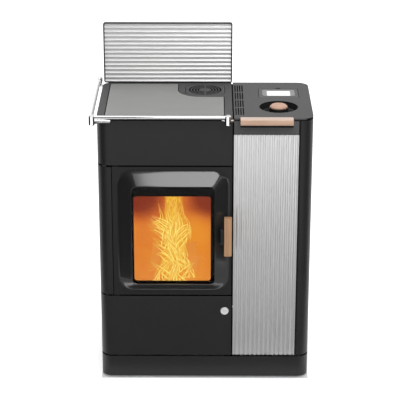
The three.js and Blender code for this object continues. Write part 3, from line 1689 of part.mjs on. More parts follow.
function makeAuger() {
  const shell = augerRod(augerTubeRadius, 0, 0);
  const bore = rod(
    augerTubeRadius - augerTubeWall, augerPoint(augerCap), augerPoint(augerLength - augerCap),
  );
  const inletRight = outletRight - hopperSheet - augerCap;
  const inlet = facing(
    aboveAuger(outletLeft + hopperSheet, inletRight, inletRise),
    outletFront + hopperSheet, outletBack - hopperSheet,
  );
  const shaftBore = augerRod(screwShaftRadius + pinGap, cutOverrun, -augerCap / 2, smallSides);
  const tube = cut(shell, bore, inlet, chutePrism(chuteHalf - chuteWall), shaftBore);
  piece('auger_tube', tube, galvanised);

  const from = augerCap + screwBlade;
  const to = augerLength - augerCap - screwBlade;
  const shaft = rod(
    screwShaftRadius, augerPoint(-motorCoupling), augerPoint(augerLength - augerCap / 2 - pinGap), smallSides,
  );
  piece('auger_screw', join(shaft, screwFlight(from, to)), polishedSteel);

  const face = -seatGap;
  const gearboxEnd = face - gearboxLength;
  const motorEnd = gearboxEnd - motorLength;
  const gearbox = new THREE.BoxGeometry(2 * gearboxHalf, 2 * gearboxHalf, gearboxLength);
  gearbox.rotateY(rad(augerSlope) - quarterTurn);
  const centre = augerPoint((face + gearboxEnd) / 2);
  gearbox.translate(centre.x, centre.y, centre.z);
  const can = rod(motorRadius - seatGap, augerPoint(gearboxEnd + motorCoupling), augerPoint(motorEnd));
  const socket = rod(
    screwShaftRadius + pinGap, augerPoint(face + cutOverrun), augerPoint(-motorCoupling - pinGap), smallSides,
  );
  piece('auger_motor', cut(join(solid(gearbox), can), socket), blackSteel);
}

// A helical blade round the shaft, as one strip of square section.
function screwFlight(from, to) {
  const side = new THREE.Vector3(0, 1, 0);
  const up = new THREE.Vector3().crossVectors(augerDirection, side);
  const steps = Math.ceil((to - from) / screwPitch * screwSteps);
  const inner = screwShaftRadius - screwBlade * screwRootShare;
  const rings = [];
  for (let i = 0; i <= steps; i += 1) {
    const along = from + (to - screwBlade - from) * i / steps;
    const angle = 2 * halfTurn * (along - from) / screwPitch;
    const out = side.clone().multiplyScalar(Math.cos(angle)).addScaledVector(up, Math.sin(angle));
    const ring = [[inner, 0], [inner, screwBlade], [screwRadius, screwBlade], [screwRadius, 0]];
    rings.push(ring.map(([radius, ahead]) => {
      const p = augerPoint(along + ahead).addScaledVector(out, radius);
      return [p.x, p.y, p.z];
    }));
  }
  return cappedLoft(rings);
}

// The square chute falls at 45 degrees from the tube's end to the fire side of the lining.

const chuteTopX = partitionRight + chuteStartX;
const chuteTopZ = augerLevelAt(chuteTopX) - chuteStartDrop;

function chutePrism(half) {
  const reach = Math.SQRT1_2 * half;
  const fall = chuteTopX - (rightBoardRight - boardThickness) + 2 * half;
  const endX = chuteTopX - fall;
  const endZ = chuteTopZ - fall;
  const shape = polygon([
    [chuteTopX - reach, chuteTopZ + reach],
    [endX - reach, endZ + reach],
    [endX + reach, endZ - reach],
    [chuteTopX + reach, chuteTopZ - reach],
  ]);
  return facing(shape, augerY - half, augerY + half);
}

function makeChute() {
  const left = rightBoardRight - boardThickness;
  const trim = block(
    fireboxLeft, left, fireboxFront, fireboxBack, fireboxLow, fireboxHigh,
  );
  const chute = cut(
    chutePrism(chuteHalf),
    chutePrism(chuteHalf - chuteWall),
    augerRod(augerTubeRadius + seatGap, 0, cutOverrun),
    trim,
  );
  piece('feed_chute', chute, galvanised);
}

// Control box and mains inlet

const inletX = halfWidth - inletFromRight;

function makeElectrics() {
  const right = chassisInner - seatGap;
  const back = bodyDepth - boxFromBack;
  const shape = roundedRect(back - boxDepth, back, boxLevel, boxLevel + boxHeight, boxRadius);
  const cover = roundedRect(
    back - boxDepth - boxCover, back + boxCover,
    boxLevel - boxCover, boxLevel + boxHeight + boxCover, boxRadius,
  );
  const box = join(
    across(shape, right - boxWidth, right),
    across(cover, right - boxWidth * boxSeamShare - boxCover, right - boxWidth * boxSeamShare),
  );
  piece('control_box', box, blackPlastic);

  const front = bodyDepth - inletDepth;
  const flangeFront = bodyDepth + seatGap;
  const flangeBack = flangeFront + inletFlangeThickness;
  const around = (halfX, halfZ, y0, y1) => block(
    inletX - halfX, inletX + halfX, y0, y1, inletLevel - halfZ, inletLevel + halfZ,
  );
  const body = join(
    around(inletWidth / 2, inletHeight / 2, front, flangeBack),
    around(inletWidth / 2 + inletFlange, inletHeight / 2 + inletFlange, flangeFront, flangeBack),
  );
  const recessFloor = flangeBack - inletRecess;
  let inlet = cut(
    body,
    around(inletWidth / 2 - inletWall, inletHeight / 2 - inletWall, recessFloor, flangeBack + cutOverrun),
  );
  for (const step of [-1, 0, 1]) {
    const x = inletX + step * inletBladePitch;
    inlet = inlet.add(block(
      x - inletBladeThickness / 2, x + inletBladeThickness / 2,
      recessFloor - inletWall, recessFloor + inletBladeLength,
      inletLevel - inletBladeWidth / 2, inletLevel + inletBladeWidth / 2,
    ));
  }
  piece('power_inlet', inlet, blackPlastic);
}

// Storage drawer: a wrapped front, its box and a round push latch

const latchX = divideX - latchFromDivide;
const latchZ = drawerSeamLevel - latchDrop;
const drawerLeft = drawerLeftInset - chassisInner;
const drawerRight = partitionLeft - drawerRightInset;
const drawerBackY = bodyDepth - drawerBackInset;
const drawerFloor = drawerLow + drawerBoxFloor;

function makeDrawer() {
  const frontEnd = { frontX: fireRightX };
  const sideEnd = { sideY: bodyCornerRadius };
  const wrapped = wrappedSheet(-1, frontEnd, sideEnd, drawerLow, drawerHigh);
  const hole = yRod(latchHoleRadius, latchX, latchZ, -cutOverrun, casingSheet + cutOverrun);
  piece('drawer_front', cut(wrapped, hole), blackSteel);

  const top = drawerHigh - drawerBoxTopDrop;
  const front = casingSheet + seatGap;
  const cupBack = front + latchCupDepth;
  const tray = cut(
    block(drawerLeft, drawerRight, front, drawerBackY, drawerFloor, top),
    block(
      drawerLeft + drawerSheet, drawerRight - drawerSheet, front + drawerSheet, drawerBackY - drawerSheet,
      drawerFloor + drawerSheet, top + cutOverrun,
    ),
  );
  const cup = yRod(latchCupRadius, latchX, latchZ, front, cupBack);
  const box = cut(
    join(tray, cup),
    yRod(latchRadius + pinGap, latchX, latchZ, front - cutOverrun, cupBack - latchCupWall),
    yRod(latchStemRadius + pinGap, latchX, latchZ, front, cupBack + cutOverrun, smallSides),
  );
  piece('drawer_box', box, galvanised);

  const button = cut(
    join(
      yRod(latchRadius, latchX, latchZ, -latchProud, latchDepth),
      yRod(latchStemRadius, latchX, latchZ, latchDepth - latchDish, cupBack - seatGap, smallSides),
    ),
    yRod(latchRadius - latchProud, latchX, latchZ, -latchProud - cutOverrun, latchDish - latchProud),
  );
  piece('latch_button', button, polishedSteel);
}

// Pellet door: a pan that tilts out at its foot, its strip, fluted sheet, wooden bar and cheeks

const pelletLeft = divideX + seamGap / 2;
const pelletRight = casingSeamX - seamGap / 2;
const pelletLow = drawerLow;
const pelletHigh = casingTop - pelletTopGap;
const stripLow = pelletHigh - stripHeight + stripGap / 2;
const tiltY = tiltAxisDepth;
const tiltZ = pelletLow + tiltAxisRise;
const barLeft = (pelletLeft + pelletRight - barLength) / 2;
const barRight = barLeft + barLength;
const barTop = bodyHeight + barProud;
const barLow = barTop - barHeight;

function tiltPin(left, right, gap) {
  return xRod(tiltPinRadius + gap, tiltY, tiltZ, left, right, smallSides);
}

function makePelletDoor() {
  const sheetTop = stripLow - pelletSheet;
  const outline = polygon([
    [flutedSetback, pelletLow],
    [pelletPanDepth, pelletLow],
    [pelletPanDepth, pelletHigh],
    [0, pelletHigh],
    [0, stripLow],
    [flutedSetback, sheetTop],
  ]);
  const hollow = polygon([
    [flutedSetback + pelletSheet, pelletLow + pelletSheet],
    [pelletPanDepth + cutOverrun, pelletLow + pelletSheet],
    [pelletPanDepth + cutOverrun, pelletHigh - pelletSheet],
    [pelletSheet, pelletHigh - pelletSheet],
    [pelletSheet, stripLow + pelletSheet],
    [flutedSetback + pelletSheet, stripLow],
  ]);
  const pan = join(
    cut(
      across(outline, pelletLeft, pelletRight),
      across(hollow, pelletLeft + pelletSheet, pelletRight - pelletSheet),
    ),
    tiltPin(pelletLeft - tiltPinReach, pelletLeft + pelletSheet / 2, 0),
    tiltPin(pelletRight - pelletSheet / 2, pelletRight + tiltPinReach, 0),
  );
  piece('pellet_door', join(pan, makeBarSeat(), makeCheeks()), deckSteel);

  const sheet = extrude(fluteProfile(pelletRight - pelletLeft), sheetTop - stripGap - pelletLow);
  sheet.translate(pelletLeft, flutedSetback - seatGap, pelletLow);
  piece('fluted_panel', solid(sheet), aluminium);

  const back = -barStandoff;
  const front = back - barDepth;
  const section = [front, back, barLow, barTop];
  const bar = softBar(section, barLeft, barRight, barChamfer, barEndEdge, (y, z, x) => [x, y, z]);
  piece('bar_handle', bar, oak);
}

// The ledge that carries the wooden bar.
function makeBarSeat() {
  const front = barSeatInset - barDepth - barStandoff;
  return block(barLeft, barRight, front, pelletSheet / 2, barLow - barSeatHeight, barLow - seatGap);
}

// Two cheeks on a back plate keep the pellets from spilling when the door is tilted out.
function makeCheeks() {
  const front = pelletPanDepth - chuteCheekSheet;
  const back = pelletPanDepth;
  const low = mouthSill + cheekFoot;
  const radius = mouthTop - cheekTopGap - tiltZ;
  const topAt = (y) => tiltZ + Math.sqrt(radius * radius - (y - tiltY) * (y - tiltY));
  const arc = [];
  for (let i = 0; i <= largeArcSteps; i += 1) {
    const y = back + (cheekReach * i) / largeArcSteps;
    arc.push([y, topAt(y)]);
  }
  const cheek = polygon([[front, low], [back, low], ...arc.reverse(), [front, topAt(back)]]);
  const inset = pelletSheet / 2;
  const plate = block(pelletLeft + inset, pelletRight - inset, front, back, low, topAt(back));
  const left = hopperLeft + cheekSideInset;
  const right = pelletRight - cheekSideInset;
  return join(
    plate,
    across(cheek, left, left + chuteCheekSheet),
    across(cheek, right - chuteCheekSheet, right),
  );
}

makeCasings();
makeBase();
makeChassis();
makeBackPanel();
makeHobTop();
makeDeck();
makeKnob();
makeDisplay();
makeSplashback();
makeRail();
makeFireDoor();
makeHandle();
makeFirebox();
makeLining();
makeBurnPot();
makeSmokeFan();
makeHopper();
makeAuger();
makeChute();
makeElectrics();
makeDrawer();
makePelletDoor();

// The origin is the middle of the whole object's box, on the floor.
const bounds = new THREE.Box3().setFromObject(stove);
const middle = bounds.getCenter(new THREE.Vector3());
stove.position.set(-middle.x, -middle.y, -bounds.min.z);

export default stove;
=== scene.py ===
"""Looks of a pellet and wood stove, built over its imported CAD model."""

import json
import math
import random

import bmesh
import bpy
from mathutils import Euler, Matrix, Vector


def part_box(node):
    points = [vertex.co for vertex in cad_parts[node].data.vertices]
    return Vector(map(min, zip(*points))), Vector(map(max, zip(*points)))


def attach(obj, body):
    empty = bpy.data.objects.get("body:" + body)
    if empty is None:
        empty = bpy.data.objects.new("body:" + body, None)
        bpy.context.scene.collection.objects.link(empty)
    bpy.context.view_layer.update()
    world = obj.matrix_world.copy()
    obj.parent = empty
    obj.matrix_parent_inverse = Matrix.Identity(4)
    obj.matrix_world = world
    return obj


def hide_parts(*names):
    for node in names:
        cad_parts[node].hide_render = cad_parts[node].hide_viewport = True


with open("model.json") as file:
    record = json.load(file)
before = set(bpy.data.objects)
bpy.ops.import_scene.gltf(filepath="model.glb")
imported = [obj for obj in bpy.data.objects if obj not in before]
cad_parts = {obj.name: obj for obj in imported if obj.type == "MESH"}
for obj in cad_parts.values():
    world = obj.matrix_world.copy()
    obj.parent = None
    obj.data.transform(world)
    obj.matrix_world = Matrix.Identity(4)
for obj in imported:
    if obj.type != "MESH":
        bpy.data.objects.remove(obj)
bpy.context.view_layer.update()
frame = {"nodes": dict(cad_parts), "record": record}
nodes = frame["nodes"]
MM = 0.001
X, Y, Z = 0, 1, 2

slot_of = {part["node"]: part["material_slot"] for part in frame["record"]["subparts"]}
body_of = {node: body for body, held in frame["record"]["behaviour"]["bodies"].items() for node in held}


# Node trees


class Term:
    """A value in a node tree. An expression on it adds its Math nodes."""

    def __init__(self, tree, socket):
        self.tree = tree
        self.socket = socket

    def math(self, operation, *others):
        """This value and the others through one Math node."""
        return self.tree.math(operation, self, *others)

    def __add__(self, other):
        return self.math("ADD", other)

    __radd__ = __add__

    def __sub__(self, other):
        return self.math("SUBTRACT", other)

    def __rsub__(self, other):
        return self.tree.math("SUBTRACT", other, self)

    def __mul__(self, other):
        return self.math("MULTIPLY", other)

    __rmul__ = __mul__

    def __truediv__(self, other):
        return self.math("DIVIDE", other)

    def __pow__(self, other):
        return self.math("POWER", other)

    def __abs__(self):
        return self.math("ABSOLUTE")

    def between(self, low, high, rise="SMOOTHSTEP"):
        """0 below low, 1 above high and a smooth rise from one to the other."""
        sockets = {0: self, 1: low, 2: high, 3: 0.0, 4: 1.0}
        node = self.tree.add("ShaderNodeMapRange", {"interpolation_type": rise}, sockets)
        return Term(self.tree, node.outputs[0])

    def kept(self):
        """The value held between 0 and 1."""
        return self.between(0.0, 1.0, "LINEAR")


class Tree:
    """A shader tree or a geometry tree under construction."""

    def __init__(self, tree):
        self.tree = tree

    def add(self, kind, settings, sockets):
        """A node of a kind, with its settings made first and then its sockets fed."""
        node = self.tree.nodes.new(kind)
        for key, value in settings.items():
            if key == "stops":
                self.set_stops(node.color_ramp, value)
            else:
                setattr(node, key, value)
        for key, value in sockets.items():
            self.feed(node.inputs[key], value)
        return node

    def set_stops(self, ramp, stops):
        """Gives a colour ramp its places and colours."""
        while len(ramp.elements) < len(stops):
            ramp.elements.new(1.0)
        for element, (place, colour) in zip(ramp.elements, stops):
            element.position = place
            element.color = (*colour, 1.0)

    def feed(self, socket, value):
        """A link into a socket, or its plain value."""
        if isinstance(value, Term):
            self.tree.links.new(value.socket, socket)
        elif isinstance(value, bpy.types.NodeSocket):
            self.tree.links.new(value, socket)
        else:
            socket.default_value = value

    def math(self, operation, *values):
        """One Math node on these values."""
        node = self.add("ShaderNodeMath", {"operation": operation}, dict(enumerate(values)))
        return Term(self, node.outputs[0])


SOCKETS = {
    "base": "Base Color",
    "rough": "Roughness",
    "metal": "Metallic",
    "coat": "Coat Weight",
    "alpha": "Alpha",
    "glow": "Emission Color",
    "ior": "IOR",
    "coat_ior": "Coat IOR",
    "coat_roughness": "Coat Roughness",
    "emission_strength": "Emission Strength",
    "specular": "Specular IOR Level",
    "transmission": "Transmission Weight",
}


class Finish(Tree):
    """A material under construction. Its values go straight onto the shader's sockets."""

    def __init__(self, name, **values):
        self.material = bpy.data.materials.new(name)
        self.material.use_nodes = True
        super().__init__(self.material.node_tree)
        self.tree.nodes.clear()
        sockets = {SOCKETS[key]: value for key, value in values.items()}
        self.shader = self.add("ShaderNodeBsdfPrincipled", {}, sockets)
        self.add("ShaderNodeOutputMaterial", {}, {"Surface": self.shader.outputs[0]})
        self.place = self.add("ShaderNodeTexCoord", {}, {}).outputs["Object"]

    def stretched(self, scale, shift=(0, 0, 0)):
        """Object coordinates, stretched and moved."""
        mapping = {"Scale": scale, "Location": shift, "Vector": self.place}
        return self.add("ShaderNodeMapping", {}, mapping).outputs[0]

    def axis(self, index, vector=None):
        """One of the three coordinates."""
        split = self.add("ShaderNodeSeparateXYZ", {}, {0: vector or self.place})
        return Term(self, split.outputs[index])

    def noise(self, scale, detail=2.0, rough=0.5, vector=None, bend=0.0):
        """Cloudy noise of so many grains per metre."""
        sockets = {"Vector": vector or self.place, "Scale": scale, "Detail": detail, "Roughness": rough}
        sockets["Distortion"] = bend
        return Term(self, self.add("ShaderNodeTexNoise", {}, sockets).outputs["Fac"])

    def cells(self, scale, output="Distance"):
        """Voronoi cells: the distance from each one's middle, or its chance colour."""
        node = self.add("ShaderNodeTexVoronoi", {}, {"Vector": self.place, "Scale": scale})
        return Term(self, node.outputs[output])

    def ramp(self, value, *stops):
        """A colour read off a value."""
        node = self.add("ShaderNodeValToRGB", {"stops": stops}, {0: value})
        return node.outputs[0]

    def blend(self, share, first, second):
        """Two colours mixed by a share."""
        colours = [c if isinstance(c, bpy.types.NodeSocket) else (*c, 1.0) for c in (first, second)]
        # A Mix node's colours are its inputs 6 and 7 and its output 2.
        sockets = {0: share, 6: colours[0], 7: colours[1]}
        return self.add("ShaderNodeMix", {"data_type": "RGBA"}, sockets).outputs[2]

    def cloud(self):
        """Wide clouds over the whole piece."""
        return self.noise(5, 3)

    def clouded(self, colour):
        """A colour in wide clouds, a little darker and a little lighter."""
        darker = [0.88 * part for part in colour]
        lighter = [1.12 * part for part in colour]
        return self.blend(self.cloud(), darker, lighter)

    def paint(self, **values):
        """Feeds what changes over the surface to the shader."""
        for key, value in values.items():
            self.feed(self.shader.inputs[SOCKETS[key]], value)

    def relief(self, height, depth):
        """A bump of so many metres."""
        bump = self.add("ShaderNodeBump", {}, {"Height": height, "Distance": depth, "Strength": 1.0})
        self.feed(self.shader.inputs["Normal"], bump.outputs[0])


# Finishes

GREY = (0.072, 0.072, 0.072)
BLACK = (0.0185, 0.0185, 0.0188)
SLOT_SHADE_BLACK = (0.006, 0.006, 0.006)
DEEP_BLACK = (0.003, 0.003, 0.003)
# Painted shade in the level seams between panels.
SEAM_SHADE_BLACK = (0.002, 0.002, 0.002)
# Panels whose top edge is a level seam.
TIERS = ("plinth", "lower_side_panel", "left_column")
SEAMS = [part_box(node)[1][Z] for node in TIERS]
SEAM_EDGE = (0.5 * MM, 1.0 * MM)
SLOT_START = 0.8 * MM
SLOT_FADE = 0.5 * MM
HOLE_EDGE = 1 * MM
DECK_RIM = 3 * MM
COVER_RIM = 6 * MM
MODULE_RISE = (0.1 * MM, 0.5 * MM)
LEDGE_RISE = (0.6 * MM, 1.2 * MM)
FRAME_RISE = (0.3 * MM, 2.3 * MM)
PEEL_GRAINS = 900
PEEL_DEPTH = 0.04 * MM
FINE_DEPTH = 0.03 * MM
SAND_DEPTH = 0.35 * MM
ROLLED_DEPTH = 0.001 * MM
KNURL_DEPTH = 0.06 * MM
PORE_DEPTH = 0.06 * MM
FLAKE_DEPTH = 0.4 * MM
WEAVE_DEPTH = 0.7 * MM
FIBRE_DEPTH = 0.2 * MM


def powder_coat(name, colour, rough, sheen=0.3, seams=()):
    """Baked powder coat with a very fine orange peel, with painted shade in the level seams at the given
    heights.
    """
    coat = Finish(name, specular=sheen)
    peel = coat.noise(PEEL_GRAINS, 2)
    base = coat.clouded(colour)
    rough = rough - 0.06 + 0.08 * peel + 0.04 * coat.cloud()
    for height in seams:
        # Painted shade: the coat turns black and rough in a narrow band at each level seam.
        seam = 1 - abs(coat.axis(Z) - height).between(*SEAM_EDGE)
        base = coat.blend(seam, base, SEAM_SHADE_BLACK)
        rough = rough + (1 - rough) * seam
    coat.paint(base=base, rough=rough)
    coat.relief(peel, PEEL_DEPTH)
    return coat.material


def pierced_coat(name, node, rim):
    """Grey powder coat of a pierced sheet, with painted shade in its holes, which start so far in from its
    edge.
    """
    coat = Finish(name, specular=0.2)
    peel = coat.noise(PEEL_GRAINS, 2)
    low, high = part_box(node)
    # Painted shade: below the top face and inside the rim, the walls of the holes turn black.
    slot = (high[Z] - SLOT_START - coat.axis(Z)).between(0.0, SLOT_FADE)
    for index in (X, Y):
        middle, half = (low[index] + high[index]) / 2, (high[index] - low[index]) / 2
        slot = slot * (half - rim - abs(coat.axis(index) - middle)).between(0.0, HOLE_EDGE)
    base = coat.blend(slot, coat.clouded(GREY), SLOT_SHADE_BLACK)
    coat.paint(base=base, rough=0.48 + 0.06 * peel + 0.2 * slot)
    coat.relief(peel, PEEL_DEPTH)
    return coat.material


def display_coat():
    """Grey plate like the deck around it, with a paler module raised in its middle."""
    coat = Finish("display_coat", specular=0.25)
    peel = coat.noise(PEEL_GRAINS, 2)
    raised = (coat.axis(Z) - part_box("control_deck")[1][Z]).between(*MODULE_RISE)
    plate = coat.blend(coat.cloud(), (0.084, 0.084, 0.084), (0.094, 0.094, 0.094))
    module = coat.blend(coat.noise(60, 2), (0.23, 0.23, 0.23), (0.27, 0.27, 0.27))
    coat.paint(base=coat.blend(raised, plate, module), rough=0.46 + 0.06 * peel - 0.1 * raised)
    coat.relief(peel, PEEL_DEPTH)
    return coat.material


def strip_coat():
    """Grey strip of the pellet door, with painted shade: the ledge that stands before it, under the bar, is
    painted black.
    """
    coat = Finish("strip_coat", specular=0.25)
    peel = coat.noise(PEEL_GRAINS, 2)
    # Painted shade: the ledge under the bar is painted black.
    ledge = (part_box("drawer_front")[0][Y] - coat.axis(Y)).between(*LEDGE_RISE)
    strip = coat.blend(coat.cloud(), (0.088, 0.088, 0.089), (0.102, 0.102, 0.103))
    coat.paint(base=coat.blend(ledge, strip, DEEP_BLACK), rough=0.42 + 0.08 * peel + 0.2 * ledge)
    coat.relief(peel, PEEL_DEPTH)
    return coat.material


def door_coat():
    """Powder coat of the fire door, glossier on the raised frame."""
    coat = Finish("door_coat", specular=0.25, coat_roughness=0.09, coat_ior=1.75)
    peel = coat.noise(PEEL_GRAINS, 2)
    cloud = coat.cloud()
    raised = (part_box("drawer_front")[0][Y] - coat.axis(Y)).between(*FRAME_RISE)
    coat.paint(
        base=coat.blend(cloud, (0.0155, 0.0155, 0.016), (0.0185, 0.0185, 0.019)),
        rough=0.42 + 0.05 * peel - 0.1 * raised,
        coat=0.85 * raised,
    )
    coat.relief(peel * (1 - 0.8 * raised), PEEL_DEPTH)
    return coat.material


def blasted_steel():
    """Matt steel of the hob: fine speckle, faint clouds of rubbing."""
    steel = Finish("blasted_steel", specular=0.35)
    speckle = steel.noise(2600, 2)
    rub = steel.noise(9, 5, 0.6, steel.stretched((1, 2.2, 1)))
    base = steel.blend(rub, (0.285, 0.285, 0.275), (0.315, 0.315, 0.304))
    steel.paint(base=base, rough=0.5 + 0.1 * speckle - 0.04 * rub, metal=0.2 + 0.1 * speckle)
    steel.relief(speckle, FINE_DEPTH)
    return steel.material


# Depths behind the front at which the flute hollows get painted shade.
FLUTE_SHADE_DEPTHS = (0.5 * MM, 5 * MM)


def aluminium(name, node, along, painted_shaded, painted_lit, shine):
    """Satin aluminium with rolling lines along its flutes, with painted light and shade: darker and rougher
    at the low end of an axis, lighter at its high end (tone, roughness), and painted shade in the flute
    hollows.
    """
    metal = Finish(name)
    low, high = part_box(node)
    scale = [1100, 1100, 1100]
    scale[along] = 7
    lines = metal.noise(1, 2, 0.5, metal.stretched(scale))
    cloud = metal.noise(7, 2)
    # Painted shade in the flute hollows, and painted light and shade along the axis: darker at its low end,
    # lighter at its high end.
    hollow = (metal.axis(Y) - low[Y]).between(*FLUTE_SHADE_DEPTHS)
    share = ((metal.axis(along) - low[along]) / (high[along] - low[along]) + 0.1 * (cloud - 0.5)).kept()
    tone = (painted_shaded[0] + (painted_lit[0] - painted_shaded[0]) * share) * (1 - 0.1 * hollow) * (0.985 + 0.03 * lines)
    grey = metal.add("ShaderNodeCombineColor", {}, {0: tone, 1: tone, 2: tone}).outputs[0]
    metal.paint(base=grey, rough=painted_shaded[1] + (painted_lit[1] - painted_shaded[1]) * share + 0.04 * cloud, metal=shine)
    metal.relief(lines, ROLLED_DEPTH)
    return metal.material


def chrome():
    """Polished chrome with the faintest smears."""
    metal = Finish("chrome_plate", metal=1.0)
    smear = metal.noise(35, 4, 0.6)
    metal.paint(base=metal.blend(smear, (0.78, 0.78, 0.79), (0.86, 0.86, 0.87)), rough=0.035 + 0.05 * smear)
    return metal.material


LATCH_KNURL_RADIUS = 7 * MM
LATCH_KNURL_EDGE = 0.5 * MM
LATHE_LINES = 5200


def turned_steel():
    """Satin steel of the latch button, turned on a lathe, with rings about its middle."""
    metal = Finish("turned_steel", metal=0.4)
    low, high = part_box("latch_button")
    centre = (low + high) / 2
    across = metal.axis(X) - centre[X]
    up = metal.axis(Z) - centre[Z]
    reach = (across * across + up * up) ** 0.5
    rings = metal.math("SINE", reach * LATHE_LINES)
    swirl = metal.noise(180, 3)
    middle = 1 - (reach - LATCH_KNURL_RADIUS).between(-LATCH_KNURL_EDGE, LATCH_KNURL_EDGE)
    knurl = metal.cells(700)
    metal.paint(
        base=metal.blend(middle, (0.96, 0.96, 0.96), (0.84, 0.84, 0.84)),
        rough=0.42 + 0.04 * rings + 0.05 * swirl + 0.1 * middle,
    )
    metal.relief(rings * (1 - middle) * 0.25 + knurl * middle, KNURL_DEPTH)
    return metal.material


def plain_steel():
    """Bright drawn steel of inner parts."""
    metal = Finish("drawn_steel", metal=1.0)
    scratch = metal.noise(300, 4, 0.6)
    base = metal.blend(scratch, (0.55, 0.55, 0.56), (0.68, 0.68, 0.69))
    metal.paint(base=base, rough=0.22 + 0.2 * scratch)
    metal.relief(scratch, FINE_DEPTH)
    return metal.material


def galvanised():
    """Zinc coated sheet with its spangle."""
    metal = Finish("zinc_sheet")
    spangle = metal.cells(55, "Color")
    grain = metal.noise(260, 3)
    shade = metal.axis(X, spangle.socket)
    metal.paint(
        base=metal.blend(shade, (0.40, 0.42, 0.44), (0.56, 0.58, 0.60)),
        rough=0.36 + 0.16 * shade + 0.06 * grain,
        metal=0.85 + 0.1 * shade,
    )
    metal.relief(grain, FINE_DEPTH)
    return metal.material


LIT_TOP_BAND = (-2 * MM, -0.4 * MM)
SHADED_FOOT = 13 * MM
LIT_TOP_WOOD = (0.66, 0.55, 0.49)


def wood(name, along, pale, dark, painted_light_node=None):
    """Light oiled wood with its grain along one axis. A node's box places painted light: a paler top where
    light falls, and painted shade towards its foot.
    """
    timber = Finish(name, specular=0.5 if painted_light_node else 0.4)
    stretch = [95, 95, 95]
    stretch[along] = 5
    fine = [900, 900, 900]
    fine[along] = 22
    wander = timber.stretched(stretch)
    streak = timber.noise(1, 4, 0.62, wander, bend=0.9)
    pore = timber.noise(1, 3, 0.7, timber.stretched(fine)).between(0.56, 0.72)
    cloud = timber.noise(14, 2)
    tone = (streak * 0.8 + cloud * 0.2).between(0.3, 0.7)
    base = timber.blend(pore * 0.35, timber.blend(tone, pale, dark), [0.55 * part for part in dark])
    if painted_light_node:
        low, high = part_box(painted_light_node)
        height = timber.axis(Z)
        # Painted light: a paler top face. Painted shade: darker towards the foot.
        lit_top = (height - high[Z]).between(*LIT_TOP_BAND)
        shaded = 1 - (height - low[Z]).between(0.0, SHADED_FOOT)
        base = timber.blend(0.5 * shaded, base, [0.72 * part for part in dark])
        base = timber.blend(0.6 * lit_top, base, LIT_TOP_WOOD)
    timber.paint(base=base, rough=0.42 + 0.12 * streak + 0.1 * pore)
    timber.relief(1 - pore, PORE_DEPTH)
    return timber.material


def cast_iron():
    """Heat-proof black paint on sand-cast iron."""
    iron = Finish("cast_iron", specular=0.3)
    sand = iron.noise(650, 4, 0.65)
    soot = iron.noise(18, 4)
    iron.paint(base=iron.blend(soot, (0.010, 0.010, 0.010), (0.028, 0.026, 0.024)), rough=0.68 + 0.2 * sand)
    iron.relief(sand, SAND_DEPTH)
    return iron.material


LINING_FIRELIGHT_FADE_HEIGHTS = (0.50, 0.635)
LINING_SIDES = (10 * MM, 145 * MM)
LINING_FIRELIGHT_SPOT = (80 * MM, 100 * MM)
LINING_FIRELIGHT_REACH = (10 * MM, 115 * MM)
LINING_TOP_EDGE = (-12 * MM, -4 * MM)


def vermiculite():
    """Pressed lining board with painted firelight in its emission: orange, brightest in a spot low at one
    side, dark red in its upper corners and none at its top edge.
    """
    board = Finish("vermiculite_board", rough=0.9, specular=0.1, emission_strength=1.0)
    flake = board.cells(210)
    soot = board.noise(9, 3, 0.55)
    base = board.blend(flake, (0.085, 0.055, 0.028), (0.15, 0.105, 0.055))
    low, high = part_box("firebox_lining")
    middle = (low[X] + high[X]) / 2
    side = abs(board.axis(X) - middle).between(*LINING_SIDES)
    height = board.axis(Z)
    # Painted firelight: the emission fades upwards and towards the sides.
    firelight_fade = height.between(*LINING_FIRELIGHT_FADE_HEIGHTS) * (0.3 + 0.95 * side) + (soot - 0.5) * 0.4 + 0.1 * side
    glow = board.ramp(
        firelight_fade,
        (0.0, (0.70, 0.225, 0.027)),
        (0.25, (0.62, 0.165, 0.025)),
        (0.6, (0.40, 0.070, 0.016)),
        (1.0, (0.18, 0.016, 0.009)),
    )
    # Painted firelight: a brighter spot low at one side.
    beside = board.axis(X) - middle - LINING_FIRELIGHT_SPOT[0]
    above = height - low[Z] - LINING_FIRELIGHT_SPOT[1]
    painted_lit = 1 - ((beside * beside + above * above) ** 0.5).between(*LINING_FIRELIGHT_REACH)
    glow = board.blend(0.7 * painted_lit, glow, (0.74, 0.275, 0.017))
    # Painted shade: no firelight at the top edge.
    inner = (height - high[Z]).between(*LINING_TOP_EDGE)
    board.paint(base=base, glow=board.blend(inner, glow, (0.0, 0.0, 0.0)))
    board.relief(flake, FLAKE_DEPTH)
    return board.material


def firelit_iron():
    """Cast iron of the burn pot, with painted firelight in its emission."""
    iron = Finish("firelit_iron", specular=0.2, emission_strength=1.0)
    sand = iron.noise(650, 4, 0.65)
    ash = iron.noise(26, 4, 0.6)
    # Painted firelight: an orange emission over the whole pot.
    iron.paint(
        base=iron.blend(ash, (0.012, 0.011, 0.010), (0.05, 0.045, 0.04)),
        rough=0.7 + 0.2 * sand,
        glow=iron.blend(ash, (0.70, 0.235, 0.034), (0.76, 0.265, 0.038)),
    )
    iron.relief(sand, SAND_DEPTH)
    return iron.material


def plain_glass():
    """Clear heat-proof glass."""
    glass = Finish("clear_glass", transmission=1.0, ior=1.1, base=(0.98, 0.98, 0.98, 1.0))
    haze = glass.noise(24, 4)
    glass.paint(rough=0.004 + 0.012 * haze)
    return glass.material


def sealing_rope():
    """Woven glass-fibre rope."""
    rope = Finish("sealing_rope", specular=0.15)
    weave = rope.cells(420)
    fuzz = rope.noise(1500, 2)
    rope.paint(base=rope.blend(weave, (0.06, 0.06, 0.06), (0.018, 0.018, 0.018)), rough=0.82 + 0.12 * fuzz)
    rope.relief(1 - weave, WEAVE_DEPTH)
    return rope.material


